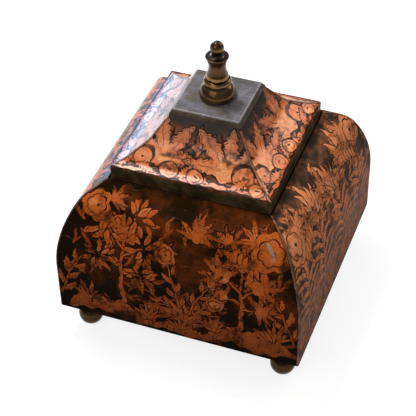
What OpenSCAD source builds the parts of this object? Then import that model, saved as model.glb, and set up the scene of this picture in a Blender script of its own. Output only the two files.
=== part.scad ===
// Square lacquered sheet-metal sweets box, the walls bowed in to a narrow mouth.
// The lift-off lid has four coved slopes under a flat cap and a turned brass finial.
// Millimetres, +Z up. The origin is the middle of the box on the surface it stands on.
// The front faces -Y. Every wall is one bent sheet, cut at 45 degrees where it meets the next.

/* [Body] */
// Width of the body across its straight lower walls
body_w = 180; // [166:1:200]
// Height of the straight lower part of each wall
wall_straight_h = 39.5; // [25:0.5:60]
// Radius of the long bow above the straight part
bow_r = 102; // [88:1:120]
// Angle that the bow turns through, from upright
bow_turn = 28; // [22:1:32]
// Radius of the shoulder above the bow
shoulder_r = 35; // [28:1:42]
// Angle of the shoulder's end, from upright
shoulder_turn = 60; // [54:1:64]
// Length of the straight slope between the shoulder and the ledge
shoulder_slope = 6.3; // [4.5:0.1:10]
// Thickness of the lacquered sheet
sheet_t = 0.8; // [0.5:0.1:1.1]
// Height of the hem folded inwards along the bottom of each wall
wall_hem_h = 3; // [2:0.5:6]
// Height of the base tray's upturned edge
tray_edge_h = 7; // [4:0.5:12]
// Side gap between the base tray and the walls it is soldered to
tray_gap = 0.1; // [0.05:0.05:0.3]

/* [Seams] */
// How far a soldered corner bead stands proud of the sheet
seam_proud = 0.35; // [0.2:0.05:0.8]
// Width of the body's corner beads, measured square to the mitre
body_seam_w = 2; // [1.2:0.1:3]
// Width of the lid's hip beads, measured square to the mitre
lid_seam_w = 1.6; // [1:0.1:2.4]

/* [Mouth] */
// Width of the ledge that shows all round the lid
ledge_show = 1.9; // [1:0.1:4]
// Height of the collar above the ledge
collar_rise = 7; // [4:0.5:9]
// Depth of the collar below the ledge
collar_drop = 4; // [3:0.5:8]
// Side gap between the collar and the lid's hem
lid_clear = 0.4; // [0.3:0.05:0.8]
// Gap under the lid's rim when the lid is on
lid_seat_gap = 0.1; // [0.05:0.05:0.3]

/* [Lid] */
// Height of the upright rim
rim_h = 10.2; // [9.5:0.1:14]
// Height of the hem folded inwards along the bottom of the rim
rim_hem_h = 3.5; // [2:0.5:6]
// Slope of the lid where it leaves the rim, from level
flare_angle = 8; // [4:1:12]
// Radius of the lower cove
flare_cove_r = 20; // [14:1:23]
// Slope of the middle of the lid, from level
mid_angle = 36; // [32:1:40]
// Length of the straight middle slope
mid_len = 11; // [7:0.5:12]
// Radius of the upper cove
upper_cove_r = 18; // [12:1:24]
// Slope of the top of the lid, from level
upper_angle = 56; // [52:1:62]
// Width of the flat cap
cap_w = 46.8; // [38:0.2:50]
// Thickness of the cap's sheet
cap_t = 0.5; // [0.4:0.1:0.8]
// Length of the cap's folded edge down each slope
cap_lip = 4.5; // [3:0.5:7]

/* [Finial] */
// Radius of the finial's domed base
finial_r = 12.7; // [11:0.1:15]
// Height of the domed base up to its groove
finial_dome_h = 9.8; // [8:0.1:11]
// Radius of the finial's bead
finial_bead_r = 9.6; // [8.5:0.1:10.5]
// Radius of the waist
finial_waist_r = 5.95; // [5:0.05:6.4]
// Radius of the flared end under the waist
finial_flare_r = 7.75; // [7:0.05:8.5]
// Height of the waisted spindle
finial_spindle_h = 12.3; // [10:0.1:16]
// Radius of the dished flange
finial_flange_r = 8.07; // [7.4:0.05:9.5]
// Radius of the ball on top
finial_ball_r = 4.9; // [4.2:0.1:6]

/* [Feet] */
// Radius of a ball foot
foot_ball_r = 9.1; // [7.5:0.1:10]
// Length of the neck between the walls' bottom edge and the ball
foot_neck_h = 8.2; // [5:0.1:12]
// Depth of the flat that a ball rests on
foot_flat = 0.4; // [0.2:0.05:0.8]
// Distance from the outside of a wall to a foot's centre line
foot_inset = 15.9; // [13:0.1:24]
// Radius of a foot's neck
foot_neck_r = 5.2; // [4:0.1:6]
// Radius of a foot's upper flange
foot_flange_r = 8; // [7:0.1:10]
// Thickness of a foot's upper flange
foot_flange_t = 1.6; // [1:0.1:2.5]

/* [Fasteners] */
// Radius of a screw's or stud's shank
shank_r = 1.95; // [1.4:0.05:2.4]
// Gap round a shank in the piece it is screwed into
thread_gap = 0.05; // [0.02:0.01:0.1]
// Gap round a shank in a piece it only passes through
hole_gap = 0.25; // [0.15:0.05:0.4]
// Thickness of a washer
washer_t = 0.8; // [0.5:0.1:1.5]
// Radius of a washer
washer_r = 5; // [4.4:0.1:6]
// Radius of a foot screw's head
screw_head_r = 3.8; // [3.4:0.1:4.6]
// Height of a foot screw's head
screw_head_h = 2.4; // [1.8:0.1:3.2]
// Length of a foot screw's shank
screw_len = 12; // [9:0.5:15]
// Width of the nut across its flats
nut_w = 7; // [6.4:0.1:8]
// Height of the nut
nut_h = 3.2; // [2.4:0.1:4]
// Length of the stud inside the finial
stud_hold = 14; // [8:0.5:20]
// Length of the stud below the nut
stud_end = 2; // [1:0.5:4]

/* [Hidden] */
$fn = 180;

// Colours of the finishes
copper_lacquer = [0.48, 0.23, 0.11];
worn_seam = [0.42, 0.33, 0.25];
black_lacquer = [0.12, 0.10, 0.08];
slate_lacquer = [0.34, 0.34, 0.35];
antique_brass = [0.38, 0.28, 0.14];
plain_steel = [0.62, 0.62, 0.60];

// Turn about Z that faces a side or a corner, taken from the side at +X or the corner at +X +Y
side_back = 90;
side_left = 180;
side_front = 270;
corner_back_right = 0;
corner_back_left = 90;
corner_front_left = 180;
corner_front_right = 270;

// Unit vectors in a side's own profile plane: x is outwards, y is up
function ray(angle) = [cos(angle), sin(angle)];
function slope_up(angle) = [-cos(angle), sin(angle)];
function slope_out(angle) = [sin(angle), cos(angle)];

// Angle by which an arc runs past its ends, in degrees
arc_lap = 0.03;

// Half-widths of the body, and its heights above the walls' bottom edge
body_half = body_w / 2;
bow_start = [body_half, wall_straight_h];
bow_centre = bow_start - bow_r * ray(0);
shoulder_start = bow_centre + bow_r * ray(bow_turn);
shoulder_centre = shoulder_start - shoulder_r * ray(bow_turn);
shoulder_end = shoulder_centre + shoulder_r * ray(shoulder_turn);
ledge_edge = shoulder_end + shoulder_slope * ray(shoulder_turn + 90);
ledge_half = ledge_edge[0];
ledge_h = ledge_edge[1];
tray_half = body_half - sheet_t - tray_gap;

// Half-widths of the lid, and its heights above the top of the rim
rim_half = ledge_half - ledge_show;
lid_edge = [rim_half, 0];
flare_centre = lid_edge + flare_cove_r * slope_out(flare_angle);
mid_start = flare_centre - flare_cove_r * slope_out(mid_angle);
mid_end = mid_start + mid_len * slope_up(mid_angle);
upper_centre = mid_end + upper_cove_r * slope_out(mid_angle);
upper_start = upper_centre - upper_cove_r * slope_out(upper_angle);
upper_top_half = cap_w / 2 - cap_t * tan(upper_angle / 2);
upper_len = (upper_start[0] - upper_top_half) / cos(upper_angle);
upper_end = upper_start + upper_len * slope_up(upper_angle);
slopes_h = upper_end[1];
cap_top_h = slopes_h + cap_t;
cap_fall = cap_lip * sin(upper_angle);
cap_lip_h = cap_top_h - cap_fall;
collar_half = rim_half - 2 * sheet_t - lid_clear;

// Heights above the surface that the box stands on
foot_h = foot_neck_h + 2 * foot_ball_r - foot_flat;
tray_z = foot_h + wall_hem_h;
ledge_z = foot_h + ledge_h;
rim_z = ledge_z + lid_seat_gap;
slopes_z = rim_z + rim_h;
cap_under_z = slopes_z + slopes_h;
cap_top_z = slopes_z + cap_top_h;

// Turned details of the finial, with its heights above the cap
finial_edge_r = 1.9;
groove_h = 0.6;
groove_depth = 1.1;
groove_undercut = 0.2;
spindle_groove_depth = 0.7;
bead_h = 4.3;
flange_h = 6;
flange_edge_h = 4.6;
flange_edge_t = 1.2;
neck_depth = 1.3;
neck_show = 0.5;
dome_top_r = finial_bead_r - groove_depth;
groove_r = dome_top_r - groove_undercut;
dome_rise = finial_dome_h - finial_edge_r;
dome_draw_in = finial_r - dome_top_r;
dome_r = (pow(dome_rise, 2) + pow(dome_draw_in, 2)) / (2 * dome_draw_in);
bead_z = finial_dome_h + groove_h;
spindle_z = bead_z + bead_h + groove_h;
flange_z = spindle_z + finial_spindle_h;
finial_neck_r = finial_ball_r - neck_depth;
ball_z = flange_z + flange_h + neck_show + finial_ball_r;

// The washer, nut and stud that hold the finial from inside the lid
washer_z = cap_under_z - washer_t;
nut_z = washer_z - nut_h;
stud_z = nut_z - stud_end;
bore_extra = 1;

// One side of a square form: the profile given runs along the side and is cut at 45
// degrees at both corners. The side faces +X and lies between two heights.
module mitred_side(low, high) {
    intersection() {
        rotate([90, 0, 0])
            linear_extrude(height = 2 * body_w, center = true)
                children();
        translate([0, 0, low])
            linear_extrude(height = high - low)
                polygon([[0, 0], [body_w, -body_w], [body_w, body_w]]);
    }
}

// The strip of a bead that follows a mitre over both of its sides, at the corner +X +Y
module corner_strap(low, high, width) {
    intersection() {
        union() {
            mitred_side(low, high) children();
            rotate([0, 0, 90]) mitred_side(low, high) children();
        }
        rotate([0, 0, 45])
            translate([0, -width / 2, low])
                cube([2 * body_w, width, high - low]);
    }
}

// Part of a ring between two radii and two angles, less than 90 degrees apart. It runs
// past both ends by a few microns, so that it is one piece with the strips it meets.
module arc_strip(centre, inner_r, outer_r, from_angle, to_angle) {
    far = 2 * outer_r;
    start = from_angle - arc_lap;
    end = to_angle + arc_lap;
    translate(centre)
        intersection() {
            difference() {
                circle(r = outer_r);
                circle(r = inner_r);
            }
            polygon([[0, 0], far * ray(start), far * ray((start + end) / 2), far * ray(end)]);
        }
}

// A straight strip between two points, from one offset to another along the outward direction
module straight_strip(start, end, out, inner, outer) {
    polygon([start + inner * out, start + outer * out, end + outer * out, end + inner * out]);
}

// A body wall's section between two offsets from its outer face, cut level with the ledge
module wall_section(inner, outer) {
    past_ledge = ledge_edge + 3 * sheet_t * ray(shoulder_turn + 90);
    straight_strip([body_half, 0], bow_start, ray(0), inner, outer);
    arc_strip(bow_centre, bow_r + inner, bow_r + outer, 0, bow_turn);
    arc_strip(shoulder_centre, shoulder_r + inner, shoulder_r + outer, bow_turn, shoulder_turn);
    intersection() {
        straight_strip(shoulder_end, past_ledge, ray(shoulder_turn), inner, outer);
        square([body_w, ledge_h]);
    }
}

// A lid slope's section between two offsets from its outer face, from the rim to the cap
module slope_section(inner, outer) {
    past_cap = upper_end + sheet_t * slope_up(upper_angle);
    intersection() {
        union() {
            arc_strip(flare_centre, flare_cove_r - outer, flare_cove_r - inner, 270 - mid_angle, 270 - flare_angle);
            straight_strip(mid_start, mid_end, slope_out(mid_angle), inner, outer);
            arc_strip(upper_centre, upper_cove_r - outer, upper_cove_r - inner, 270 - upper_angle, 270 - mid_angle);
            straight_strip(upper_start, past_cap, slope_out(upper_angle), inner, outer);
        }
        translate([0, -2 * sheet_t]) square([rim_half, slopes_h + 2 * sheet_t]);
    }
}

// A square ring, given the half-widths of its outside and inside
module square_ring(outer_half, inner_half, height) {
    linear_extrude(height = height)
        difference() {
            square(2 * outer_half, center = true);
            square(2 * inner_half, center = true);
        }
}

// A long bar, narrower at the top, that runs along Y
module hipped_slab(bottom_half, top_half, height) {
    rotate([90, 0, 0])
        linear_extrude(height = 4 * bottom_half, center = true)
            polygon([[-bottom_half, 0], [bottom_half, 0], [top_half, height], [-top_half, height]]);
}

// A square solid that is narrower at the top, with flat slopes
module hipped_block(bottom_half, top_half, height) {
    intersection() {
        hipped_slab(bottom_half, top_half, height);
        rotate([0, 0, 90]) hipped_slab(bottom_half, top_half, height);
    }
}

// One bent wall of the body with its bottom hem, facing +X
module body_wall() {
    translate([0, 0, foot_h])
        mitred_side(0, ledge_h) {
            wall_section(-sheet_t, 0);
            straight_strip([body_half, 0], [body_half, wall_hem_h], ray(0), -2 * sheet_t, -sheet_t);
        }
}

// One coved slope of the lid, facing +X
module lid_slope() {
    translate([0, 0, slopes_z])
        mitred_side(-2 * sheet_t, slopes_h) slope_section(-sheet_t, 0);
}

module body_seam() {
    translate([0, 0, foot_h])
        corner_strap(0, ledge_h, body_seam_w) wall_section(0, seam_proud);
}

// The hip bead stops under the cap's folded edge
module lid_hip() {
    translate([0, 0, slopes_z])
        corner_strap(0, cap_lip_h, lid_seam_w) slope_section(0, seam_proud);
}

module front_panel() { color(copper_lacquer) rotate([0, 0, side_front]) body_wall(); }
module back_panel() { color(copper_lacquer) rotate([0, 0, side_back]) body_wall(); }
module left_panel() { color(copper_lacquer) rotate([0, 0, side_left]) body_wall(); }
module right_panel() { color(copper_lacquer) body_wall(); }

module front_left_seam() { color(worn_seam) rotate([0, 0, corner_front_left]) body_seam(); }
module front_right_seam() { color(worn_seam) rotate([0, 0, corner_front_right]) body_seam(); }
module back_right_seam() { color(worn_seam) rotate([0, 0, corner_back_right]) body_seam(); }
module back_left_seam() { color(worn_seam) rotate([0, 0, corner_back_left]) body_seam(); }

// The flat ledge that the lid stands on, soldered inside the walls' upper ends
module mouth_ledge() {
    wall_top_t = sheet_t / cos(shoulder_turn);
    color(black_lacquer)
        translate([0, 0, ledge_z - sheet_t])
            square_ring(ledge_half - wall_top_t, collar_half, sheet_t);
}

// The collar inside the ledge that keeps the lid in its place
module mouth_collar() {
    color(black_lacquer)
        translate([0, 0, ledge_z - collar_drop])
            square_ring(collar_half, collar_half - sheet_t, collar_drop + collar_rise);
}

// The bottom sheet with upturned edges, lying on the walls' hems
module base_tray() {
    color(black_lacquer)
        difference() {
            translate([-tray_half, -tray_half, tray_z])
                cube([2 * tray_half, 2 * tray_half, tray_edge_h]);
            translate([sheet_t - tray_half, sheet_t - tray_half, tray_z + sheet_t])
                cube([2 * (tray_half - sheet_t), 2 * (tray_half - sheet_t), tray_edge_h]);
            at_feet()
                translate([0, 0, tray_z - sheet_t])
                    cylinder(r = shank_r + hole_gap, h = 3 * sheet_t);
        }
}

// Places what follows at a foot, given the turn of its corner
module at_corner(turn) {
    rotate([0, 0, turn])
        translate([body_half - foot_inset, body_half - foot_inset, 0])
            children();
}

module at_feet() {
    for (turn = [corner_back_right, corner_back_left, corner_front_left, corner_front_right])
        at_corner(turn) children();
}

// A turned ball foot with a neck and a flange, hollow for its screw
module ball_foot() {
    neck_show_h = 0.5;
    flange_step = 0.4;
    ball_centre_z = foot_ball_r - foot_flat;
    flange_under_z = tray_z - foot_flange_t;
    waist_z = ball_centre_z + foot_ball_r + neck_show_h;
    cove_h = flange_under_z - waist_z;
    cove_depth = foot_flange_r - foot_neck_r - flange_step;
    cove_r = (pow(cove_h, 2) + pow(cove_depth, 2)) / (2 * cove_depth);
    bore_depth = screw_len - sheet_t - washer_t + bore_extra;
    rotate_extrude()
        difference() {
            union() {
                intersection() {
                    translate([0, ball_centre_z]) circle(r = foot_ball_r);
                    square([foot_ball_r, foot_h]);
                }
                translate([0, ball_centre_z]) square([foot_neck_r, tray_z - ball_centre_z]);
                translate([0, flange_under_z]) square([foot_flange_r, foot_flange_t]);
                difference() {
                    translate([0, waist_z]) square([foot_neck_r + cove_depth, cove_h]);
                    translate([foot_neck_r + cove_r, waist_z]) circle(r = cove_r);
                }
            }
            translate([0, tray_z - bore_depth]) square([shank_r + thread_gap, bore_depth + bore_extra]);
        }
}

module front_left_foot() { color(antique_brass) at_corner(corner_front_left) ball_foot(); }
module front_right_foot() { color(antique_brass) at_corner(corner_front_right) ball_foot(); }
module back_right_foot() { color(antique_brass) at_corner(corner_back_right) ball_foot(); }
module back_left_foot() { color(antique_brass) at_corner(corner_back_left) ball_foot(); }

// Slotted round-head screws, put in from inside the box
module foot_screws() {
    head_z = tray_z + sheet_t + washer_t;
    slot_w = 1;
    slot_depth = 1.1;
    crown_r = (pow(screw_head_r, 2) + pow(screw_head_h, 2)) / (2 * screw_head_h);
    color(plain_steel)
        at_feet()
            difference() {
                rotate_extrude() {
                    translate([0, head_z - screw_len]) square([shank_r, screw_len]);
                    intersection() {
                        translate([0, head_z + screw_head_h - crown_r]) circle(r = crown_r);
                        translate([0, head_z]) square([screw_head_r, screw_head_h]);
                    }
                }
                translate([-screw_head_r, -slot_w / 2, head_z + screw_head_h - slot_depth])
                    cube([2 * screw_head_r, slot_w, screw_head_h]);
            }
}

// A flat washer standing on the height given
module washer(z) {
    translate([0, 0, z])
        linear_extrude(height = washer_t)
            difference() {
                circle(r = washer_r);
                circle(r = shank_r + hole_gap);
            }
}

module foot_washers() {
    color(plain_steel) at_feet() washer(tray_z + sheet_t);
}

module lid_front_panel() { color(copper_lacquer) rotate([0, 0, side_front]) lid_slope(); }
module lid_back_panel() { color(copper_lacquer) rotate([0, 0, side_back]) lid_slope(); }
module lid_left_panel() { color(copper_lacquer) rotate([0, 0, side_left]) lid_slope(); }
module lid_right_panel() { color(copper_lacquer) lid_slope(); }

module lid_front_left_hip() { color(worn_seam) rotate([0, 0, corner_front_left]) lid_hip(); }
module lid_front_right_hip() { color(worn_seam) rotate([0, 0, corner_front_right]) lid_hip(); }
module lid_back_right_hip() { color(worn_seam) rotate([0, 0, corner_back_right]) lid_hip(); }
module lid_back_left_hip() { color(worn_seam) rotate([0, 0, corner_back_left]) lid_hip(); }

// The upright rim with its hem, under the lid's outer edge
module lid_rim() {
    color(black_lacquer)
        translate([0, 0, rim_z]) {
            square_ring(rim_half, rim_half - sheet_t, rim_h - sheet_t / cos(flare_angle));
            square_ring(rim_half - sheet_t, rim_half - 2 * sheet_t, rim_hem_h);
        }
}

// The flat cap, its edges folded down over the tops of the slopes
module lid_cap() {
    inner_fall = cap_fall - cap_t + bore_extra;
    color(slate_lacquer)
        difference() {
            translate([0, 0, cap_top_z - cap_fall])
                hipped_block(cap_w / 2 + cap_fall / tan(upper_angle), cap_w / 2, cap_fall);
            translate([0, 0, cap_top_z - cap_fall - bore_extra])
                hipped_block(upper_top_half + inner_fall / tan(upper_angle), upper_top_half, inner_fall);
            translate([0, 0, cap_top_z - 2 * cap_t])
                cylinder(r = shank_r + hole_gap, h = 3 * cap_t);
        }
}

// The turned finial's outline, from the cap up
module finial_outline() {
    bead_centre = [finial_bead_r - bead_h / 2, bead_z + bead_h / 2];
    square([finial_r - finial_edge_r, 2 * finial_edge_r]);
    translate([finial_r - finial_edge_r, finial_edge_r]) circle(r = finial_edge_r);
    intersection() {
        translate([finial_r - dome_r, finial_edge_r]) circle(r = dome_r);
        translate([0, finial_edge_r]) square([finial_r, dome_rise]);
    }
    square([groove_r, bead_z]);
    translate([0, bead_z]) square([bead_centre[0], bead_h]);
    translate(bead_centre) circle(r = bead_h / 2);
    square([finial_flare_r - spindle_groove_depth, spindle_z]);
    translate([0, spindle_z]) spindle_outline();
    translate([0, flange_z]) flange_outline();
    square([finial_neck_r, ball_z]);
    translate([0, ball_z]) circle(r = finial_ball_r);
}

// The waisted spindle: a straight bar hollowed by one long cove
module spindle_outline() {
    lip_h = 2.2;
    above_waist_h = 2.6;
    cove_depth = finial_flare_r - finial_waist_r;
    cove_half_h = finial_spindle_h - lip_h - above_waist_h;
    cove_r = (pow(cove_half_h, 2) + pow(cove_depth, 2)) / (2 * cove_depth);
    difference() {
        square([finial_flare_r, finial_spindle_h]);
        translate([finial_waist_r + cove_r, lip_h + cove_half_h]) circle(r = cove_r);
    }
}

// The cup-shaped flange: it flares from the spindle to a thin edge and dips to the neck
module flange_outline() {
    root_step = 0.45;
    under_bevel = 0.15;
    upper_bevel = 0.3;
    dish_floor_r = finial_neck_r + 1;
    dish_floor_h = flange_edge_h + flange_edge_t / 2;
    polygon([
        [0, 0],
        [finial_waist_r + root_step, 0],
        [finial_flange_r - under_bevel, flange_edge_h - flange_edge_t / 2],
        [finial_flange_r, flange_edge_h],
        [finial_flange_r - upper_bevel, dish_floor_h],
        [dish_floor_r, dish_floor_h],
        [finial_neck_r, flange_h],
        [0, flange_h]
    ]);
}

module finial() {
    color(antique_brass)
        translate([0, 0, cap_top_z])
            rotate_extrude()
                difference() {
                    intersection() {
                        finial_outline();
                        square([2 * finial_r, ball_z + 2 * finial_ball_r]);
                    }
                    translate([0, -bore_extra])
                        square([shank_r + thread_gap, stud_hold + 2 * bore_extra]);
                }
}

module finial_stud() {
    color(plain_steel)
        translate([0, 0, stud_z]) cylinder(r = shank_r, h = cap_top_z + stud_hold - stud_z);
}

module finial_washer() { color(plain_steel) washer(washer_z); }

module finial_nut() {
    color(plain_steel)
        translate([0, 0, nut_z])
            linear_extrude(height = nut_h)
                difference() {
                    circle(d = nut_w / cos(30), $fn = 6);
                    circle(r = shank_r + thread_gap);
                }
}

front_panel();
back_panel();
left_panel();
right_panel();
front_left_seam();
front_right_seam();
back_right_seam();
back_left_seam();
mouth_ledge();
mouth_collar();
base_tray();
front_left_foot();
front_right_foot();
back_right_foot();
back_left_foot();
foot_screws();
foot_washers();
lid_front_panel();
lid_back_panel();
lid_left_panel();
lid_right_panel();
lid_front_left_hip();
lid_front_right_hip();
lid_back_right_hip();
lid_back_left_hip();
lid_rim();
lid_cap();
finial();
finial_stud();
finial_washer();
finial_nut();
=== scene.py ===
"""Dresses a square lacquered sheet-metal sweets box: bowed walls, a coved lift-off lid and turned brass.

Every piece is made in metres in the frame's own place. The walls and the lid's slopes are bent
sheets that carry their painted decoration as distances from the edges of its shapes.
"""

import logging
import math
from collections.abc import Callable, Sequence
from dataclasses import dataclass, field
from enum import Enum

import bmesh
import bpy
import numpy as np
from mathutils import Matrix, Quaternion, Vector


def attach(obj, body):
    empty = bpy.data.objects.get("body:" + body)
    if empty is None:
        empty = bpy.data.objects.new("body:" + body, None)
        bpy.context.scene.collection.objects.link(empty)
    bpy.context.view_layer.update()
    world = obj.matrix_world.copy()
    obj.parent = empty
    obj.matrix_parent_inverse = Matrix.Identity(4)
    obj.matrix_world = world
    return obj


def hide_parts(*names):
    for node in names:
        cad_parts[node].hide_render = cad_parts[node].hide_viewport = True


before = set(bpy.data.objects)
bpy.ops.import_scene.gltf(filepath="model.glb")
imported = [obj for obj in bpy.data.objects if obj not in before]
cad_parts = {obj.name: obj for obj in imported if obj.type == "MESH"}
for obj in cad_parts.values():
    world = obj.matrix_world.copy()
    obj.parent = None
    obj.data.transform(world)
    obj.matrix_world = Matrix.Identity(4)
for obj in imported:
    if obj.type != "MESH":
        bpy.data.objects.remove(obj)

LOG = logging.getLogger("sweets_box")
MM = 0.001
BAKE_MAP = "OFBake"
DIAGONAL = math.sqrt(0.5)

Array = np.ndarray
Piece = bpy.types.Object
Material = bpy.types.Material
Tree = bpy.types.NodeTree
Pair = tuple[float, float]
Triple = tuple[float, float, float]
Colour = tuple[float, float, float, float]
Inputs = dict[str | int, object]


def rgb(red: float, green: float, blue: float) -> Colour:
    """Returns a linear colour with full alpha."""
    return (red, green, blue, 1.0)


class Body(Enum):
    """The two bodies that pieces ride on."""

    BOX = "box"
    LID = "lid"


class Quarter(Enum):
    """A side or a corner, whose value is its quarter turns about +Z from the first one."""

    @property
    def word(self) -> str:
        """The name in lower case."""
        return self.name.lower()


class Side(Quarter):
    """The four sides."""

    FRONT, RIGHT, BACK, LEFT = range(4)


class Corner(Quarter):
    """The four corners."""

    FRONT_RIGHT, BACK_RIGHT, BACK_LEFT, FRONT_LEFT = range(4)


def quarter_turned(places: Array, turns: int) -> Array:
    """Turns places about +Z by exact quarter turns.

    Args:
        places: An array of x, y, z rows.
        turns: How many quarter turns, counter-clockwise from above.

    Returns:
        A turned copy.
    """
    x, y, z = places.T
    for _ in range(turns):
        x, y = -y, x
    return np.stack([x, y, z], axis=1)


# ------------ painted decoration


def moved(x: float, y: float, heading: float, length: float) -> Pair:
    """Returns the place that lies a length away at a heading in degrees."""
    way = math.radians(heading)
    return x + length * math.cos(way), y + length * math.sin(way)


@dataclass(frozen=True)
class Spine:
    """The curved centre line of a stroke, leaf or frond on the flat sheet, in millimetres and degrees."""

    x: float
    y: float
    heading: float
    length: float
    bend: float = 0.0

    def coordinates(self, x: Array, y: Array) -> tuple[Array, Array]:
        """Finds where points lie in the spine's own bent frame.

        Args:
            x: The points' places across the sheet.
            y: The points' places up the sheet.

        Returns:
            The share of the length passed, and the distance to the left of the spine.
        """
        turn = math.radians(self.heading)
        along = (x - self.x) * math.cos(turn) + (y - self.y) * math.sin(turn)
        left = (y - self.y) * math.cos(turn) - (x - self.x) * math.sin(turn)
        if abs(self.bend) < 1.0:
            return along / self.length, left
        radius = self.length / math.radians(abs(self.bend))
        side = math.copysign(1.0, self.bend)
        inward = radius - side * left
        angle = np.arctan2(along, inward)
        return radius * angle / self.length, side * (radius - np.hypot(along, inward))

    def at(self, share: float) -> Triple:
        """Finds a point of the spine.

        Args:
            share: The share of the length passed.

        Returns:
            The point's x and y and the heading there.
        """
        turned = self.bend * share
        chord = self.length * share
        if abs(turned) > 0.5:
            chord *= math.sin(math.radians(turned) / 2) / (math.radians(turned) / 2)
        return *moved(self.x, self.y, self.heading + turned / 2, chord), self.heading + turned


@dataclass
class Drawing:
    """Painted shapes over the flat pattern of one sheet, as distances in millimetres, positive inside.

    copper is the depth inside the copper shapes, ink the depth inside the black lines, bare the depth
    inside the chips where the metal shows, and tone says how light the copper is.
    """

    x: Array
    y: Array
    seed: int
    outline: float = 0.6
    copper: Array = field(init=False)
    ink: Array = field(init=False)
    tone: Array = field(init=False)
    bare: Array = field(init=False)
    chance: np.random.Generator = field(init=False)
    between: Callable[[float, float], float] = field(init=False)

    FAR = -12.0
    PLAIN_TONE = 0.5
    WAVER = 0.45
    HATCH_GAP = 2.1
    GOLDEN_TURN = 137.5

    def __post_init__(self) -> None:
        """Lets the hand waver a little and clears the sheet."""
        x, y = self.x, self.y
        self.x = x + self.WAVER * (np.sin(y * 0.31 + self.seed) + 0.6 * np.sin(y * 0.83 + x * 0.21))
        self.y = y + self.WAVER * (np.sin(x * 0.27 + 2 * self.seed) + 0.6 * np.sin(x * 0.74 - y * 0.18))
        self.copper, self.ink, self.bare = (np.full(len(x), self.FAR) for _ in range(3))
        self.tone = np.full(len(x), self.PLAIN_TONE)
        self.chance = np.random.default_rng(self.seed)
        self.between = self.chance.uniform

    # -- laying paint

    def near(self, x: float, y: float, reach: float) -> Array:
        """Returns the indices of the points within reach of a place, as a square."""
        return np.flatnonzero((abs(self.x - x) < reach) & (abs(self.y - y) < reach))

    def around(self, spine: Spine, margin: float) -> Array:
        """Returns the indices of the points round a whole spine."""
        return self.near(*spine.at(0.5)[:2], spine.length / 2 + margin)

    def along(self, spine: Spine, near: Array) -> tuple[Array, Array, Array, Array]:
        """Finds where some points lie in a spine's own bent frame.

        Args:
            spine: The spine.
            near: The points' indices.

        Returns:
            The share of the length passed, that share kept between the ends, the distance to the
            left, and how far past the ends the points lie.
        """
        share, left = spine.coordinates(self.x[near], self.y[near])
        past = np.maximum(np.maximum(-share, share - 1.0), 0.0) * spine.length
        return share, np.clip(share, 0.0, 1.0), left, past

    def fill(self, near: Array, depth: Array, tone: float | Array, outline: float | None = None) -> None:
        """Lays a copper shape with its black outline over what is there.

        Args:
            near: The points that the shape may reach.
            depth: Their depth inside the shape.
            tone: How light the copper is, from 0 to 1.
            outline: The outline's width, or None for the drawing's own.
        """
        width = self.outline if outline is None else outline
        band = width / 2 - abs(depth + width / 2)
        self.lay(near, depth)
        self.ink[near] = np.maximum(np.minimum(self.ink[near], -depth - 0.01), band)
        self.tone[near] = np.where(depth > 0, tone, self.tone[near])

    def lay(self, near: Array, depth: Array) -> None:
        """Lays copper without an outline over what is there."""
        self.copper[near] = np.maximum(self.copper[near], depth)

    def scratch(self, near: Array, depth: Array) -> None:
        """Lays black line work over what is there."""
        self.ink[near] = np.maximum(self.ink[near], depth)

    def dusk(self, x: float, y: float, reach: float) -> None:
        """Dims the bare ground softly round a place, so that little glow shows there."""
        away = np.hypot(self.x - x, self.y - y) / reach
        self.tone = np.where(self.copper < 0, self.tone - 0.8 * np.clip(1.2 - away, 0.0, 0.7), self.tone)

    def chip(self, spine: Spine, width: float) -> None:
        """Rubs the paint through to the metal in one small long patch.

        Args:
            spine: The patch's middle line.
            width: Its width.
        """
        near = self.around(spine, width)
        share, _, left, _ = self.along(spine, near)
        swell = width / 2 * np.sqrt(np.clip(4 * share * (1 - share), 0.0, 1.0))
        patch = np.where((share > 0) & (share < 1), swell - abs(left), self.FAR)
        self.bare[near] = np.maximum(self.bare[near], patch)

    # -- single shapes

    def blade_depth(
        self, spine: Spine, half_w: float, near: Array,
        belly: float = 0.45, teeth: int = 0, bite: float = 0.3, lean: float = 0.5,
    ) -> Array:
        """Works out how deep points lie inside a pointed leaf.

        Args:
            spine: The leaf's centre line.
            half_w: Half the leaf's width at its widest.
            near: The points to work on.
            belly: Where along the leaf it is widest.
            teeth: How many teeth each edge has.
            bite: How far the teeth cut in, as a share of the half-width.
            lean: How far the teeth lean back.

        Returns:
            The depth inside the leaf, negative outside.
        """
        _, inside, left, past = self.along(spine, near)
        power = math.log(0.5) / math.log(belly)
        width = half_w * np.sin(math.pi * inside**power) ** 0.8
        if teeth:
            phase = (inside * teeth + lean * abs(left) / half_w) % 1.0
            cut = bite * half_w * np.minimum(phase / 0.78, (1 - phase) / 0.22)
            width = width - cut * np.minimum(1.0, 4 * (1 - inside))
        return np.where(past > 0, -np.hypot(past, left), width - abs(left))

    def leaf(self, spine: Spine, half_w: float, tone: float = 0.5, vein: float = 0.0, **shape: float) -> None:
        """Paints one leaf, light at its root.

        Args:
            spine: The leaf's centre line.
            half_w: Half its width.
            tone: How light its copper is.
            vein: The width of its black middle vein, or 0 for none.
            shape: What blade_depth takes for teeth and belly.
        """
        near = self.around(spine, half_w + 2)
        share, inside, left, _ = self.along(spine, near)
        shade = tone + 0.22 * (0.5 - inside) + 0.12 * np.clip(left / half_w, -1, 1)
        self.fill(near, self.blade_depth(spine, half_w, near, **shape), shade)
        if vein:
            line = vein * (1 - 0.6 * share) / 2 - abs(left)
            self.scratch(near, np.where((share > 0.12) & (share < 0.8), line, self.FAR))

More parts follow.
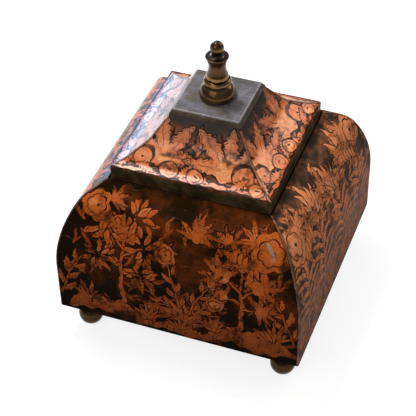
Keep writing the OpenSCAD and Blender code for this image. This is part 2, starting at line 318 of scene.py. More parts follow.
    def stroke(self, spine: Spine, width: float) -> None:
        """Draws one black line that tapers at both ends.

        Args:
            spine: The line.
            width: Its greatest width.
        """
        near = self.around(spine, width + 1)
        _, inside, left, past = self.along(spine, near)
        depth = width / 2 * (1.0 - abs(2 * inside - 1) ** 3) - abs(left)
        self.scratch(near, np.where(past > 0, -past, depth))

    def stem(self, spine: Spine, root_w: float, tip_w: float, tone: float = 0.45) -> None:
        """Paints a stem that thins from root to tip.

        Args:
            spine: The stem's centre line.
            root_w: Its width at the root.
            tip_w: Its width at the tip.
            tone: How light its copper is.
        """
        near = self.around(spine, root_w + 2)
        share, inside, left, past = self.along(spine, near)
        half = (root_w + (tip_w - root_w) * inside) / 2
        half = half * (1 + 0.18 * np.sin(share * spine.length * 0.9 + self.seed))
        self.fill(near, np.where(past > 0, -np.hypot(past, left), half - abs(left)), tone)

    def frond(self, spine: Spine, half_w: float, tone: float, side: int) -> None:
        """Paints an arching frond: a plain upper edge, and a lower one cut into hanging fingers.

        Args:
            spine: The frond's rib.
            half_w: Half its width.
            tone: How light its copper is.
            side: 1 keeps the left edge plain, -1 the right one.
        """
        near = self.around(spine, half_w + 4)
        share, inside, left, past = self.along(spine, near)
        low = left * side
        swell = half_w * np.sin(math.pi * inside**0.8) ** 0.55
        fingers = max(4, round(spine.length / 2.3))
        phase = (inside * fingers + 0.25 * left * side / half_w + 0.15 * np.sin(9 * inside + self.seed)) % 1.0
        hang = swell * (0.5 + 0.95 * (1 - abs(2 * phase - 1)) ** 0.8)
        depth = np.where(low > 0, swell * 0.55 - low, hang + low)
        depth = np.where(past > 0, -np.hypot(past, left), depth * 0.9)
        light = tone + 0.16 * np.clip(low / half_w, -1, 1) + 0.1 * (0.5 - inside)
        self.fill(near, depth, light, self.outline * 0.9)
        self.scratch(near, np.where((share > 0.05) & (share < 0.85), 0.2 - abs(low + 0.1 * half_w), self.FAR))

    def blossom(self, x: float, y: float, size: float, lobes: int, tone: float, turn: float) -> None:
        """Paints a scalloped blossom: parted petals, an inner scalloped ring and a dark eye.

        Args:
            x: The middle's place across.
            y: The middle's place up.
            size: The blossom's radius.
            lobes: How many petals it has.
            tone: How light the copper is.
            turn: The first petal's angle in degrees.
        """
        near = self.near(x, y, size * 1.25)
        across, up = self.x[near] - x, self.y[near] - y
        away = np.hypot(across, up)
        angle = np.arctan2(up, across) - math.radians(turn)
        crown = abs(np.cos(angle * lobes / 2))
        edge = size * (0.8 + 0.14 * crown**0.7 + 0.06 * np.sin(3 * angle + self.seed))
        self.fill(near, edge - away, tone + 0.35 * (0.5 - away / size))
        ring = size * (0.5 + 0.12 * crown**0.6)
        self.copper[near] = np.minimum(self.copper[near], abs(ring - away) - 0.02 * size)
        self.scratch(near, 0.3 + 0.012 * size - abs(ring - away))
        rays = 0.15 - away * abs(np.sin(angle * lobes * 1.5)) * 0.16
        self.scratch(near, np.where((away > ring) & (away < 0.86 * edge), rays, self.FAR))
        self.scratch(near, size * 0.1 - np.hypot(across - 0.1 * size, up))

    def ring_flower(self, x: float, y: float, size: float, turn: float, tone: float) -> None:
        """Paints a round flower seen flat: an oval with an inner oval and a dash for its eye.

        Args:
            x: The middle's place across.
            y: The middle's place up.
            size: The flower's radius.
            turn: How far its long way is turned, in degrees.
            tone: How light the copper is.
        """
        near = self.near(x, y, size * 1.4)
        way = math.radians(turn)
        across, up = self.x[near] - x, self.y[near] - y
        long_way = across * math.cos(way) + up * math.sin(way)
        cross = up * math.cos(way) - across * math.sin(way)
        away = np.hypot(long_way / 1.2, cross)
        self.fill(near, size - away, tone + 0.2 * (0.6 - away / size))
        eye = np.hypot(long_way * 0.42, cross - 0.12 * size - 0.03 * long_way**2)
        self.scratch(near, size * 0.14 - eye)
        self.scratch(near, np.where(long_way > -0.2 * size, 0.2 - abs(size * 0.66 - away), self.FAR))

    def crescent(self, x: float, y: float, size: float, turn: float, tone: float = 0.75) -> None:
        """Paints a round bud with a dark crescent over it and a small eye.

        Args:
            x: The middle's place across.
            y: The middle's place up.
            size: The bud's radius.
            turn: Where the crescent lies, in degrees.
            tone: How light the copper is.
        """
        near = self.near(x, y, size * 1.9)
        away = np.hypot(self.x[near] - x, self.y[near] - y)
        self.fill(near, size - away, tone + 0.1 * (0.5 - away / size))
        x_dark, y_dark = moved(x, y, turn, 0.42 * size)
        shifted = np.hypot(self.x[near] - x_dark, self.y[near] - y_dark)
        self.scratch(near, np.minimum(size * 1.02 - shifted, away - size * 0.99))
        self.scratch(near, size * 0.13 - away)

    # -- groups of shapes

    def spray(
        self, x: float, y: float, heading: float, size: float, blades: int, spread: float,
        tone: float = 0.5, teeth: int = 5, stout: float = 0.14, bite: float = 0.34, slits: bool = False,
    ) -> None:
        """Paints pointed blades that fan out from one root as a single serrated leaf.

        Args:
            x: The root's place across.
            y: The root's place up.
            heading: Where the middle blade points.
            size: The middle blade's length.
            blades: How many blades there are, two or more.
            spread: The angle from the first blade to the last.
            tone: How light the copper is.
            teeth: How many teeth each blade's edge has.
            stout: Half a blade's width as a share of its length.
            bite: How far the teeth cut in.
            slits: Whether black slits part the blades.
        """
        near = self.near(x, y, size * 1.15)
        if not len(near):
            return
        depth = np.full(len(near), self.FAR)
        spines = []
        back = 0.1 * size
        for index in range(blades):
            offset = index / (blades - 1) - 0.5
            length = size * (1 - 0.75 * offset * offset) * self.between(0.86, 1.04)
            way = heading + spread * offset + self.between(-3, 3)
            bend = 42 * offset + self.between(-9, 9)
            spine = Spine(*moved(x, y, way, -back), way, length + back, bend)
            half_w = length * stout * self.between(0.88, 1.15)
            depth = np.maximum(depth, self.blade_depth(spine, half_w, near, 0.5, teeth, bite, -0.9))
            spines.append(spine)
        away = np.hypot(self.x[near] - x, self.y[near] - y) / size
        depth = np.maximum(depth, size * (0.16 - away) if spread > 100 else self.FAR)
        self.fill(near, depth, tone + 0.6 * (0.4 - away))
        self.scratch(near, np.where(away > 0.3, 0.16 - abs(depth - 0.03 * size), self.FAR))
        for spine in spines:
            self.stroke(Spine(*spine.at(0.32), spine.length * 0.4, spine.bend * 0.4), 0.4)
        for first, second in zip(spines, spines[1:]) if slits else ():
            way, bend = (first.heading + second.heading) / 2, (first.bend + second.bend) / 4
            slit = Spine(x, y, way, 0.74 * size, bend)
            self.stroke(Spine(*slit.at(0.42), 0.43 * size, slit.bend / 2), 1.9)

    def clump(self, x: float, y: float, reach: float, leaves: int, tone: float) -> None:
        """Paints a tree's leaf clump: small pointed leaves that spring outwards in layers.

        Args:
            x: The middle's place across.
            y: The middle's place up.
            reach: The clump's radius.
            leaves: How many leaves it has.
            tone: How light the copper is.
        """
        for index in range(leaves):
            way = self.GOLDEN_TURN * index + self.between(-20, 20)
            away = reach * 0.55 * math.sqrt(1 - index / leaves)
            x_root = x + away * math.cos(math.radians(way))
            y_root = y + 0.7 * away * math.sin(math.radians(way))
            length = reach * self.between(0.4, 0.62)
            spine = Spine(x_root, y_root, way + self.between(-25, 25), length, self.between(-40, 40))
            self.leaf(spine, length * 0.2, tone + 0.3 * index / leaves, vein=0.35)

    def bank(self, left: float, right: float, height: float, tone: float) -> None:
        """Paints a rocky bank with dark pits along the sheet's bottom.

        Args:
            left: Where the bank starts.
            right: Where it ends.
            height: Its height above the bottom edge.
            tone: How light the copper is.
        """
        middle, reach = (left + right) / 2, (right - left) / 2
        near = np.flatnonzero((abs(self.x - middle) < reach + 4) & (self.y < height * 1.8))
        x, y = self.x[near], self.y[near]
        across = np.clip(1 - ((x - middle) / reach) ** 2, 0, 1) ** 0.4
        bumps = 0.72 + 0.2 * abs(np.sin(x * 0.19 + self.seed)) + 0.14 * abs(np.sin(x * 0.43 + 1))
        crest = height * across * bumps
        foot = height * (0.2 + 0.09 * np.sin(x * 0.13 + self.seed) + 0.05 * np.sin(x * 0.5))
        self.fill(near, np.minimum(crest - y, (y - foot) * 0.8), tone + 0.012 * (y - height / 2))
        for _ in range(round((right - left) / 5.5)):
            place = self.between(left + 4, right - 4), height * self.between(0.35, 0.75)
            pit = Spine(*place, self.between(0, 180), self.between(1.6, 3.4), 20)
            self.stroke(pit, self.between(0.9, 1.7))

    def tuft(self, x: float, y: float, size: float, blades: int, tone: float, spread: float = 130) -> None:
        """Paints a tuft of separate grass blades that lean outwards.

        Args:
            x: The root's place across.
            y: The root's place up.
            size: The longest blade's length.
            blades: How many blades it has.
            tone: How light the copper is.
            spread: How far they lean, in degrees.
        """
        for index in self.chance.permutation(blades):
            offset = index / (blades - 1) - 0.5
            length = size * self.between(0.65, 1.0) * (1 - 0.5 * abs(offset))
            spine = Spine(x + 3 * offset, y, 90 - spread * offset * 0.6, length, -spread * offset * 0.5)
            self.leaf(spine, length * self.between(0.075, 0.11), tone, belly=0.4)

    def hatching(self, x: float, y: float, width: float, height: float, slant: float) -> None:
        """Scratches fine parallel copper lines into the dark ground.

        Args:
            x: The left end's place across.
            y: The lowest line's place up.
            width: The longest line's length.
            height: How far up the lines go.
            slant: Their heading.
        """
        for row in range(round(height / self.HATCH_GAP)):
            length = width * self.between(0.6, 1.0)
            x_row = x + (width - length) * self.between(0, 1)
            line = Spine(x_row, y + self.HATCH_GAP * row, slant, length, 8)
            near = self.around(line, 2)
            share, _, left, _ = self.along(line, near)
            swell = 0.42 * np.sqrt(np.clip(share * (1 - share) * 4, 0, 1))
            self.lay(near, np.where((share > 0) & (share < 1), swell - abs(left), self.FAR))

    def scroll(self, spine: Spine, leaves: int, size: float, tone: float) -> None:
        """Paints a stem with leaves that spring from it on both sides by turns.

        Args:
            spine: The stem's centre line.
            leaves: How many leaves it bears.
            size: The length of the longest leaf.
            tone: How light the copper is.
        """
        for index in range(leaves):
            share = (index + 0.6) / leaves
            x, y, heading = spine.at(share)
            side = 1 if index % 2 else -1
            length = size * (1 - 0.35 * share) * self.between(0.8, 1.05)
            leaf = Spine(x, y, heading + side * 48, length, -side * 38)
            self.leaf(leaf, length * 0.19, tone, vein=0.45, teeth=4, bite=0.3, lean=-0.6)
        self.stem(spine, 1.8, 0.8, tone - 0.05)

    def undergrowth(self, count: int, half_w: float, top: float, size: float, tone: float = 0.08) -> None:
        """Paints dim leaves all over the ground, to lie behind everything else.

        Args:
            count: How many leaves there are.
            half_w: How far they reach to each side of the middle.
            top: How high they reach.
            size: The longest leaf's length.
            tone: How light their copper is.
        """
        for _ in range(count):
            x, y, heading = self.between(-half_w, half_w), self.between(-2, top), 90 + self.between(-75, 75)
            length = size * self.between(0.45, 1.0)
            spine = Spine(x, y, heading, length, self.between(-50, 50))
            near = self.around(spine, 5)
            leaf_w = length * self.between(0.1, 0.17)
            depth = self.blade_depth(spine, leaf_w, near, teeth=4, bite=0.35, lean=-0.6)
            self.lay(near, depth)
            self.ink[near] = np.minimum(self.ink[near], -depth)
            self.tone[near] = np.where(depth > -0.4, tone + self.between(-0.08, 0.14), self.tone[near])


class Garden(Drawing):
    """The planting painted on a wall or a slope. Places are millimetres from the sheet's middle and foot."""

    def front(self) -> None:
        """Paints the front: two leafy trees of unlike height beside a flowering bush over rocky banks."""
        self.undergrowth(90, 80, 96, 17)
        dusks = ((-84, 74, 22), (-90, 40, 26), (-80, 8, 24), (-10, 2, 16), (84, 6, 20), (0, 104, 14))
        for x, y, reach in dusks:
            self.dusk(x, y, reach)
        self.hatching(-30, 13, 66, 15, 4)
        self.scroll(Spine(86, 20, 104, 54, 18), 8, 17, 0.42)
        self.leaf_tree(Spine(-38, 16, 98, 58, -16), 44, 17)
        self.leaf_tree(Spine(47, 20, 81, 40, 18), 36)
        self.flower_bush(6, 13)
        self.spray(12, 88, 76, 19, 7, 150, 0.42)
        self.spray(36, 92, 150, 14, 5, 120, 0.42)
        self.corner_flower(-1, 96, 9)
        self.corner_flower(1, 90, 12)
        self.chip(Spine(61, 97, -58, 11, 12), 2.6)
        self.chip(Spine(66, 88, -70, 4, 12), 1.6)
        for left, right, height, tone in ((-84, -16, 21, 0.3), (22, 90, 24, 0.34), (-30, 34, 11, 0.3)):
            self.bank(left, right, height, tone)
        tufts = ((-66, 15, 22, 6), (-20, 10, 20, 6), (28, 13, 21, 6), (72, 17, 25, 7), (3, 7, 15, 5))
        for x, y, size, blades in tufts:
            self.tuft(x, y, size, blades, 0.42)
        self.scroll(Spine(-87, 14, 76, 46, -20), 7, 19, 0.3)

    def side(self) -> None:
        """Paints a side wall: close ferns, reeds and small flowers over a dark foot, partly painted shade."""
        self.undergrowth(200, 92, 106, 18, 0.3)
        for x, y, lean in ((-58, 74, 8), (-24, 80, -6), (10, 76, 5), (42, 80, -8)):
            for reach, blades in ((34, 13), (20, 8)):
                self.tuft(x, y, reach, blades, 0.7, 190 + lean)
        for x in (-66, -28, 14, 56):
            rise = self.between(52, 68)
            self.tuft(x + 19, 12, 46, 9, 0.22, 60)
            self.fern(x, 12, rise)
        for x, y, heading in ((-40, 86, 60), (-4, 90, 100), (36, 86, 120)):
            self.spray(x, y, heading, 15, 5, 150, 0.5, 4)
            self.blossom(x, y, 5.5, 5, 0.6, heading)
        self.corner_flower(-1, 90, 12)
        self.corner_flower(1, 91, 11)
        # dim tufts and banks along the foot: partly painted shade
        for x in (-80, -44, -12, 20, 50, 82):
            self.tuft(x, 8, 36, 9, 0.2, 80)
        self.bank(-84, -6, 13, 0.1)
        self.bank(2, 86, 14, 0.1)

    def back(self) -> None:
        """Paints the back: a broad leafy tree between flowering bushes over a low bank."""
        self.undergrowth(120, 92, 100, 17)
        self.hatching(-60, 12, 40, 14, 3)
        self.leaf_tree(Spine(6, 16, 96, 60, -12), 48, 18)
        self.flower_bush(-48, 13)
        self.flower_bush(56, 14)
        self.spray(-30, 92, 110, 17, 7, 150, 0.42)
        self.spray(38, 92, 60, 16, 5, 130, 0.42)
        self.corner_flower(-1, 91, 11)
        self.corner_flower(1, 90, 11)
        self.bank(-90, 4, 19, 0.36)
        self.bank(10, 90, 22, 0.36)
        for x, y, size, blades in ((-80, 15, 21, 6), (-20, 12, 22, 7), (30, 13, 21, 6), (80, 16, 22, 7)):
            self.tuft(x, y, size, blades, 0.42)

    def leaf_tree(self, trunk: Spine, reach: float, leaves: int = 0) -> None:
        """Paints a bent trunk whose boughs end in clumps of small leaves or in fans of serrated ones.

        Args:
            trunk: The trunk's centre line.
            reach: How far the boughs and their leaves reach.
            leaves: How many leaves a clump has, or 0 for fans.
        """
        self.stem(trunk, 3.8, 2.2, 0.42)
        boughs = ((-98, 0.55, 0.8), (92, 0.68, 0.85), (-62, 0.8, 0.95), (56, 0.9, 1.0), (-12, 1.0, 1.05))
        for turn, share, size in boughs:
            x_fork, y_fork, heading = trunk.at(share)
            bough = Spine(x_fork, y_fork, heading + 0.72 * turn, 0.42 * reach * size, 0.3 * turn)
            self.stem(bough, 1.9, 1.1, 0.42)
            x_end, y_end, way = bough.at(1.0)
            if leaves:
                self.clump(x_end, y_end, 0.42 * reach * size, leaves, 0.4)
            else:
                self.spray(x_end, y_end, way - 0.25 * turn, 0.6 * reach * size, 7, 170, 0.46, 6)

    def fern(self, x: float, y: float, rise: float, pairs: int = 6) -> None:
        """Paints a tall fern: a bent stalk with arching fronds all the way up.

        Args:
            x: The stalk's foot across.
            y: The stalk's foot up.
            rise: The stalk's length.
            pairs: How many fronds it has on each side.
        """
        reach, lean = self.between(26, 32), self.between(-9, 9)
        stalk = Spine(x, y, 90 + lean, rise, -2 * lean)
        self.stem(stalk, 2.2, 1.2, 0.36)
        for tier in range(pairs):
            x_root, y_root, heading = stalk.at(0.22 + 0.76 * tier / pairs)
            for side in (1, -1):
                length = reach * self.between(0.85, 1.05) * (1 - 0.35 * tier / pairs)
                frond = Spine(x_root, y_root, heading - side * (52 - 24 * tier / pairs), length, -side * 58)
                self.frond(frond, 0.075 * reach, 0.4 + 0.05 * tier, side)
        self.spray(*stalk.at(1.0), reach * 0.45, 5, 90, 0.4, 3)

    def flower_bush(self, x: float, y: float) -> None:
        """Paints a bush of bent stems that carry leaves and scalloped blossoms.

        Args:
            x: The bush's foot across.
            y: The bush's foot up.
        """
        stems = (
            (-32, 40, 40, 0.0), (27, 36, -34, 7.2), (-8, 60, 14, 8.4),
            (15, 47, -24, 0.0), (-54, 26, 44, 6.0), (50, 22, -46, 0.0),
        )
        for offset, length, bend, size in stems:
            spine = Spine(x, y, 90 - offset, length, bend * 0.8)
            self.scroll(spine, max(4, round(length / 7)), 14, 0.46)
            x_top, y_top, heading = spine.at(1.0)
            self.spray(x_top, y_top, heading, 13, 5, 150 if size else 80, 0.44, 4)
            if size:
                self.blossom(x_top, y_top, size, 5, 0.55, heading)

    def corner_flower(self, side: int, height: float, size: float) -> None:
        """Paints half of a blossom that lies over a corner, with leaves and hanging buds.

        Args:
            side: 1 for the wall's right corner, -1 for its left one.
            height: The blossom's height up the sheet.
            size: The blossom's radius.
        """
        x = side * (63.5 + 0.72 * (95 - height))
        for turn in (200, 232, 268) if size > 10 else (212, 250):
            way = turn if side > 0 else 180 - turn
            leaf = Spine(x - side * 5, height - 4, way, size * 2.3, side * 22)
            self.leaf(leaf, size * 0.26, 0.46, teeth=5, lean=-0.6)
        for step in range(5):
            x_bud = x - side * (10 + 4.1 * step)
            bud = Spine(x_bud, height - 7 + step, 270 - side * 12, 1.2 * size - step, side * 44)
            self.leaf(bud, 1.7, 0.5)
        self.spray(x - side * 12, height + 6, 90 + side * 66, size * 1.6, 5, 130, 0.5, 3)
        self.blossom(x - side * 2, height, size * 1.3, 6, 0.6, 18 * side)
        x_chip = side * (86 - 0.0016 * (height - 30) ** 2)
        for _ in range(2):
            rise, heading = self.between(12, 60), 90 + self.between(-30, 30)
            self.chip(Spine(x_chip, rise, heading, self.between(1, 3), 12), 0.9)

    def slope(self) -> None:
        """Paints a slope of the lid: broad serrated leaves above a row of round flowers."""
        self.outline = 0.95
        shift = 1.5 * (self.seed % 3 - 1)
        self.undergrowth(16, 56, 20, 12, 0.2)
        for x, y, heading, size in ((-1 + shift, 22, 91, 22), (-50, 7, 118, 18), (50, 7, 62, 18)):
            self.spray(x, y, heading, size, 3, 64, 0.2, 5, 0.12)
        for x, y, heading, size in ((-24, 13, 100, 34), (21, 12, 84, 37)):
            self.spray(x + shift, y, heading, size, 5, 162, 0.68, 7, 0.2, 0.32, slits=True)
        self.bank(-60, 60, 4.6, 0.5)
        for x, y, size, turn in ((-37, 12, 6.4, 55), (35, 12, 7.2, 125)):
            self.crescent(x + shift, y, size, turn)
        leaves = ((-56, 30, 18), (-27, 150, 15), (-11, 35, 15), (12, 152, 16), (26, 22, 16), (56, 148, 18))
        for x, heading, length in leaves:
            self.leaf(Spine(x, 2.4, heading, length, 30), 3.2, 0.56, teeth=6, bite=0.5, lean=-0.6)
        for x, y, size in ((-17, 6.6, 5.6), (2, 5.6, 5.0), (46, 5.8, 4.6)):
            self.ring_flower(x + shift, y, size, self.between(-35, 35), 0.72)
        # the first three spots are painted shade just below the cap
        for x, y, reach in ((-17, 46, 11), (3, 43, 12), (20, 47, 10), (-40, 24, 9), (41, 26, 9)):
            self.dusk(x, y, reach)


# ------------ node and mesh helpers


class Value:
    """What comes out of a socket, with plain arithmetic that adds a Math node for each step."""

    def __init__(self, sketch: "Sketch", socket: bpy.types.NodeSocket) -> None:
        """Wraps a socket of a sketch's tree."""
        self.sketch, self.socket = sketch, socket

    def __add__(self, other: "Value | float") -> "Value":
        """Returns the sum."""
        return self.sketch.math("ADD", self, other)

    def __sub__(self, other: "Value | float") -> "Value":
        """Returns what is left without the other."""
        return self.sketch.math("SUBTRACT", self, other)

    def __rsub__(self, other: float) -> "Value":
        """Returns what is left of a plain number without this."""
        return self.sketch.math("SUBTRACT", other, self)

    def __mul__(self, other: "Value | float") -> "Value":
        """Returns the product."""
        return self.sketch.math("MULTIPLY", self, other)

    def __abs__(self) -> "Value":
        """Returns the size without its sign."""
        return self.sketch.math("ABSOLUTE", self)

    def most(self, other: "Value | float") -> "Value":
        """Returns the larger of the two."""
        return self.sketch.math("MAXIMUM", self, other)

    def step(self, low: float, high: float, to_low: float = 0.0, to_high: float = 1.0) -> "Value":
        """Returns a smooth step from low to high."""
        values = {"Value": self, "From Min": low, "From Max": high, "To Min": to_low, "To Max": to_high}
        return self.sketch.out("ShaderNodeMapRange", values, interpolation_type="SMOOTHSTEP")


class Sketch:
    """A shader or geometry tree under construction, with short ways to add and join its nodes."""

    def __init__(self, tree: Tree) -> None:
        """Starts on an emptied tree."""
        self.tree = tree
        tree.nodes.clear()

    def fill(self, node: bpy.types.Node, inputs: Inputs) -> None:
        """Links values to a node's inputs, or sets plain ones on them."""
        for key, value in inputs.items():
            if isinstance(value, Value):
                self.tree.links.new(value.socket, node.inputs[key])
            else:
                node.inputs[key].default_value = value

    def add(self, kind: str, inputs: Inputs | None = None, **settings: object) -> bpy.types.Node:
        """Adds a node.

        Args:
            kind: The node's type name.
            inputs: What goes into its sockets, by name or index: a Value to link or a plain value.
            settings: Properties to set on the node before its sockets are filled.

        Returns:
            The new node.
        """
        node = self.tree.nodes.new(kind)
        for key, value in settings.items():
            setattr(node, key, value)
        self.fill(node, inputs or {})
        return node

    def out(self, kind: str, inputs: Inputs | None = None, **settings: object) -> Value:
        """Adds a node as add does and returns its first output."""
        return Value(self, self.add(kind, inputs, **settings).outputs[0])

    def outs(self, kind: str, inputs: Inputs | None = None, **settings: object) -> dict[str, Value]:
        """Adds a node as add does and returns its outputs by name."""
        return {socket.name: Value(self, socket) for socket in self.add(kind, inputs, **settings).outputs}

    def math(self, operation: str, a: Value | float, b: Value | float = 0.0) -> Value:
        """Adds a Math node and returns its result."""
        return self.out("ShaderNodeMath", {0: a, 1: b}, operation=operation)

    def mix(self, share: Value | float, a: Value | Colour, b: Value | Colour) -> Value:
        """Adds a colour Mix node and returns its result."""
        return Value(self, self.add("ShaderNodeMix", {0: share, 6: a, 7: b}, data_type="RGBA").outputs[2])

    def noise(self, place: Value, scale: Value | float, detail: float, **others: object) -> Value:
        """Adds noise and returns its value."""
        inputs = {"Vector": place, "Scale": scale, "Detail": detail}
        return self.out("ShaderNodeTexNoise", inputs | {key.title(): value for key, value in others.items()})

    def attribute(self, name: str) -> Value:
        """Adds an Attribute node and returns its value."""
        return self.outs("ShaderNodeAttribute", attribute_name=name)["Fac"]


def new_group(
    name: str, kind: str, inputs: dict[str, tuple[str, object]], outputs: dict[str, str],
) -> tuple[Sketch, dict[str, Value], dict[str, str]]:
    """Starts a node group with named sockets.

    Args:
        name: The group's name.
        kind: The kind of tree.
        inputs: The short socket type and the default, or None, of each input.
        outputs: The short socket type of each output.

    Returns:
        The group's Sketch, its inputs' values and its inputs' identifiers.
    """
    tree = bpy.data.node_groups.new(name, kind)
    keys = {}
    for label, (sort, value) in inputs.items():
        socket = tree.interface.new_socket(name=label, in_out="INPUT", socket_type=f"NodeSocket{sort}")
        if value is not None:
            socket.default_value = value
        keys[label] = socket.identifier
    for label, sort in outputs.items():
        tree.interface.new_socket(name=label, in_out="OUTPUT", socket_type=f"NodeSocket{sort}")
    sketch = Sketch(tree)
    return sketch, sketch.outs("NodeGroupInput"), keys


def shown(name: str, data: bpy.types.ID) -> Piece:
    """Makes an object that shows some data in the scene."""
    piece = bpy.data.objects.new(name, data)
    bpy.context.scene.collection.objects.link(piece)
    return piece


def new_piece(name: str, places: Array, faces: Sequence[Sequence[int]]) -> Piece:
    """Makes a mesh object at the origin.

    Args:
        name: The piece's name.
        places: Rows of x, y, z in millimetres.
        faces: The vertex indices of each face, counter-clockwise from outside.

    Returns:
        The new object, in the scene.
    """
    mesh = bpy.data.meshes.new(name)
    mesh.from_pydata((places * MM).tolist(), [], faces)
    mesh.validate()
    return shown(name, mesh)


def smooth(piece: Piece, sharp_angle: float) -> None:
    """Shades a mesh smooth, with its sharp edges kept."""
    piece.data.shade_smooth()
    piece.data.set_sharp_from_angle(angle=math.radians(sharp_angle))


def plain_copy(source: Piece, name: str) -> Piece:
    """Turns what an object's modifiers give into a plain mesh of its own.

    Args:
        source: The object with its modifiers, which is removed.
        name: The new piece's name.

    Returns:
        A plain mesh object in the scene.
    """
    graph = bpy.context.evaluated_depsgraph_get()
    mesh = bpy.data.meshes.new_from_object(source.evaluated_get(graph), depsgraph=graph)
    old = source.data
    bpy.data.objects.remove(source)
    bpy.data.meshes.remove(old)
    mesh.name = name
    return shown(name, mesh)


def softened(node: str, name: str, edge_mm: float, segments: int = 3) -> Piece:
    """Copies a CAD node's shape with its sharp edges rounded off.

    Args:
        node: The CAD node.
        name: The new piece's name.
        edge_mm: How wide the rounding is.
        segments: How many faces it has across.

    Returns:
        A plain mesh object inside the node's own shape.
    """
    piece = shown(name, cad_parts[node].data.copy())
    piece.data.materials.clear()
    shape = bmesh.new()
    shape.from_mesh(piece.data)
    bmesh.ops.remove_doubles(shape, verts=shape.verts, dist=0.002 * MM)
    bmesh.ops.dissolve_limit(
        shape, angle_limit=math.radians(1.0), use_dissolve_boundaries=False,
        verts=shape.verts, edges=shape.edges,
    )
    shape.to_mesh(piece.data)
    shape.free()
    bevel = piece.modifiers.new("edge", "BEVEL")
    bevel.width, bevel.segments = edge_mm * MM, segments
    bevel.limit_method, bevel.angle_limit = "ANGLE", math.radians(30)
    done = plain_copy(piece, name)
    smooth(done, 40)
    return done


def turned(name: str, outline: Sequence[Pair], centre: Pair, steps: int) -> Piece:
    """Turns an outline on a lathe about an upright axis.

    Args:
        name: The piece's name.
        outline: Radius and height pairs from bottom to top, starting and ending on the axis.
        centre: The axis's x and y.
        steps: How many faces go round.

    Returns:
        A closed mesh object.
    """
    rings = np.array(outline[1:-1])
    angles = np.arange(steps) * 2 * math.pi / steps
    x = centre[0] + rings[:, :1] * np.cos(angles)
    y = centre[1] + rings[:, :1] * np.sin(angles)
    z = np.repeat(rings[:, 1:], steps, axis=1)
    poles = [[*centre, outline[0][1]], [*centre, outline[-1][1]]]
    places = np.concatenate([np.stack([x, y, z], axis=2).reshape(-1, 3), poles])
    count = len(rings)
    low, high, top = count * steps, count * steps + 1, (count - 1) * steps
    faces = []
    for step in range(steps):
        after = (step + 1) % steps
        faces += [(low, after, step), (high, top + step, top + after)]
        faces += [(b + step, b + after, b + steps + after, b + steps + step) for b in range(0, top, steps)]
    piece = new_piece(name, places, faces)
    smooth(piece, 50)
    return piece


def arc(centre: Pair, radius: float, start: float, end: float, count: int) -> list[Pair]:
    """Returns count + 1 points along an arc, from a start to an end angle in degrees."""
    return [moved(*centre, start + (end - start) * index / count, radius) for index in range(count + 1)]


def finish_piece(piece: Piece, body: Body, material: Material, node: str) -> None:
    """Dresses a piece, puts it on its body and reports it.

    Args:
        piece: The piece.
        body: The body it rides on.
        material: Its finish.
        node: The CAD node that it stands for.
    """
    if not piece.data.materials:
        piece.data.materials.append(material)
    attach(piece, body.value)
    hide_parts(node)
    LOG.info("%s: %d faces on %s", piece.name, len(piece.data.polygons), body.value)


# ------------ bent sheets


@dataclass(frozen=True)
class Bend:
    """The upright profile of a bent sheet: its direction at each length along it, in millimetres and degrees.

    A direction of 90 runs straight up and 180 runs level, inwards.
    """

    half_w: float
    foot: float
    runs: tuple[Pair, ...]

    FINE_POINTS = 2001

    @property
    def length(self) -> float:
        """The developed height of the sheet."""
        return self.runs[-1][0]

    def trace(self, along: Array, offset: float = 0.0) -> tuple[Array, Array]:
        """Finds the half-width and the height at lengths along the sheet.

        Args:
            along: Lengths from the foot.
            offset: How far outside the sheet's face to go.

        Returns:
            The half-widths and the heights.
        """
        fine = np.linspace(0.0, self.length, self.FINE_POINTS)
        way = np.radians(np.interp(fine, *np.array(self.runs).T))
        middle = (way[1:] + way[:-1]) / 2
        out = self.half_w + np.concatenate([[0.0], np.cumsum(np.cos(middle)) * fine[1]])
        up = self.foot + np.concatenate([[0.0], np.cumsum(np.sin(middle)) * fine[1]])
        there = np.interp(along, fine, way)
        out_there = np.interp(along, fine, out) + offset * np.sin(there)
        return out_there, np.interp(along, fine, up) - offset * np.cos(there)


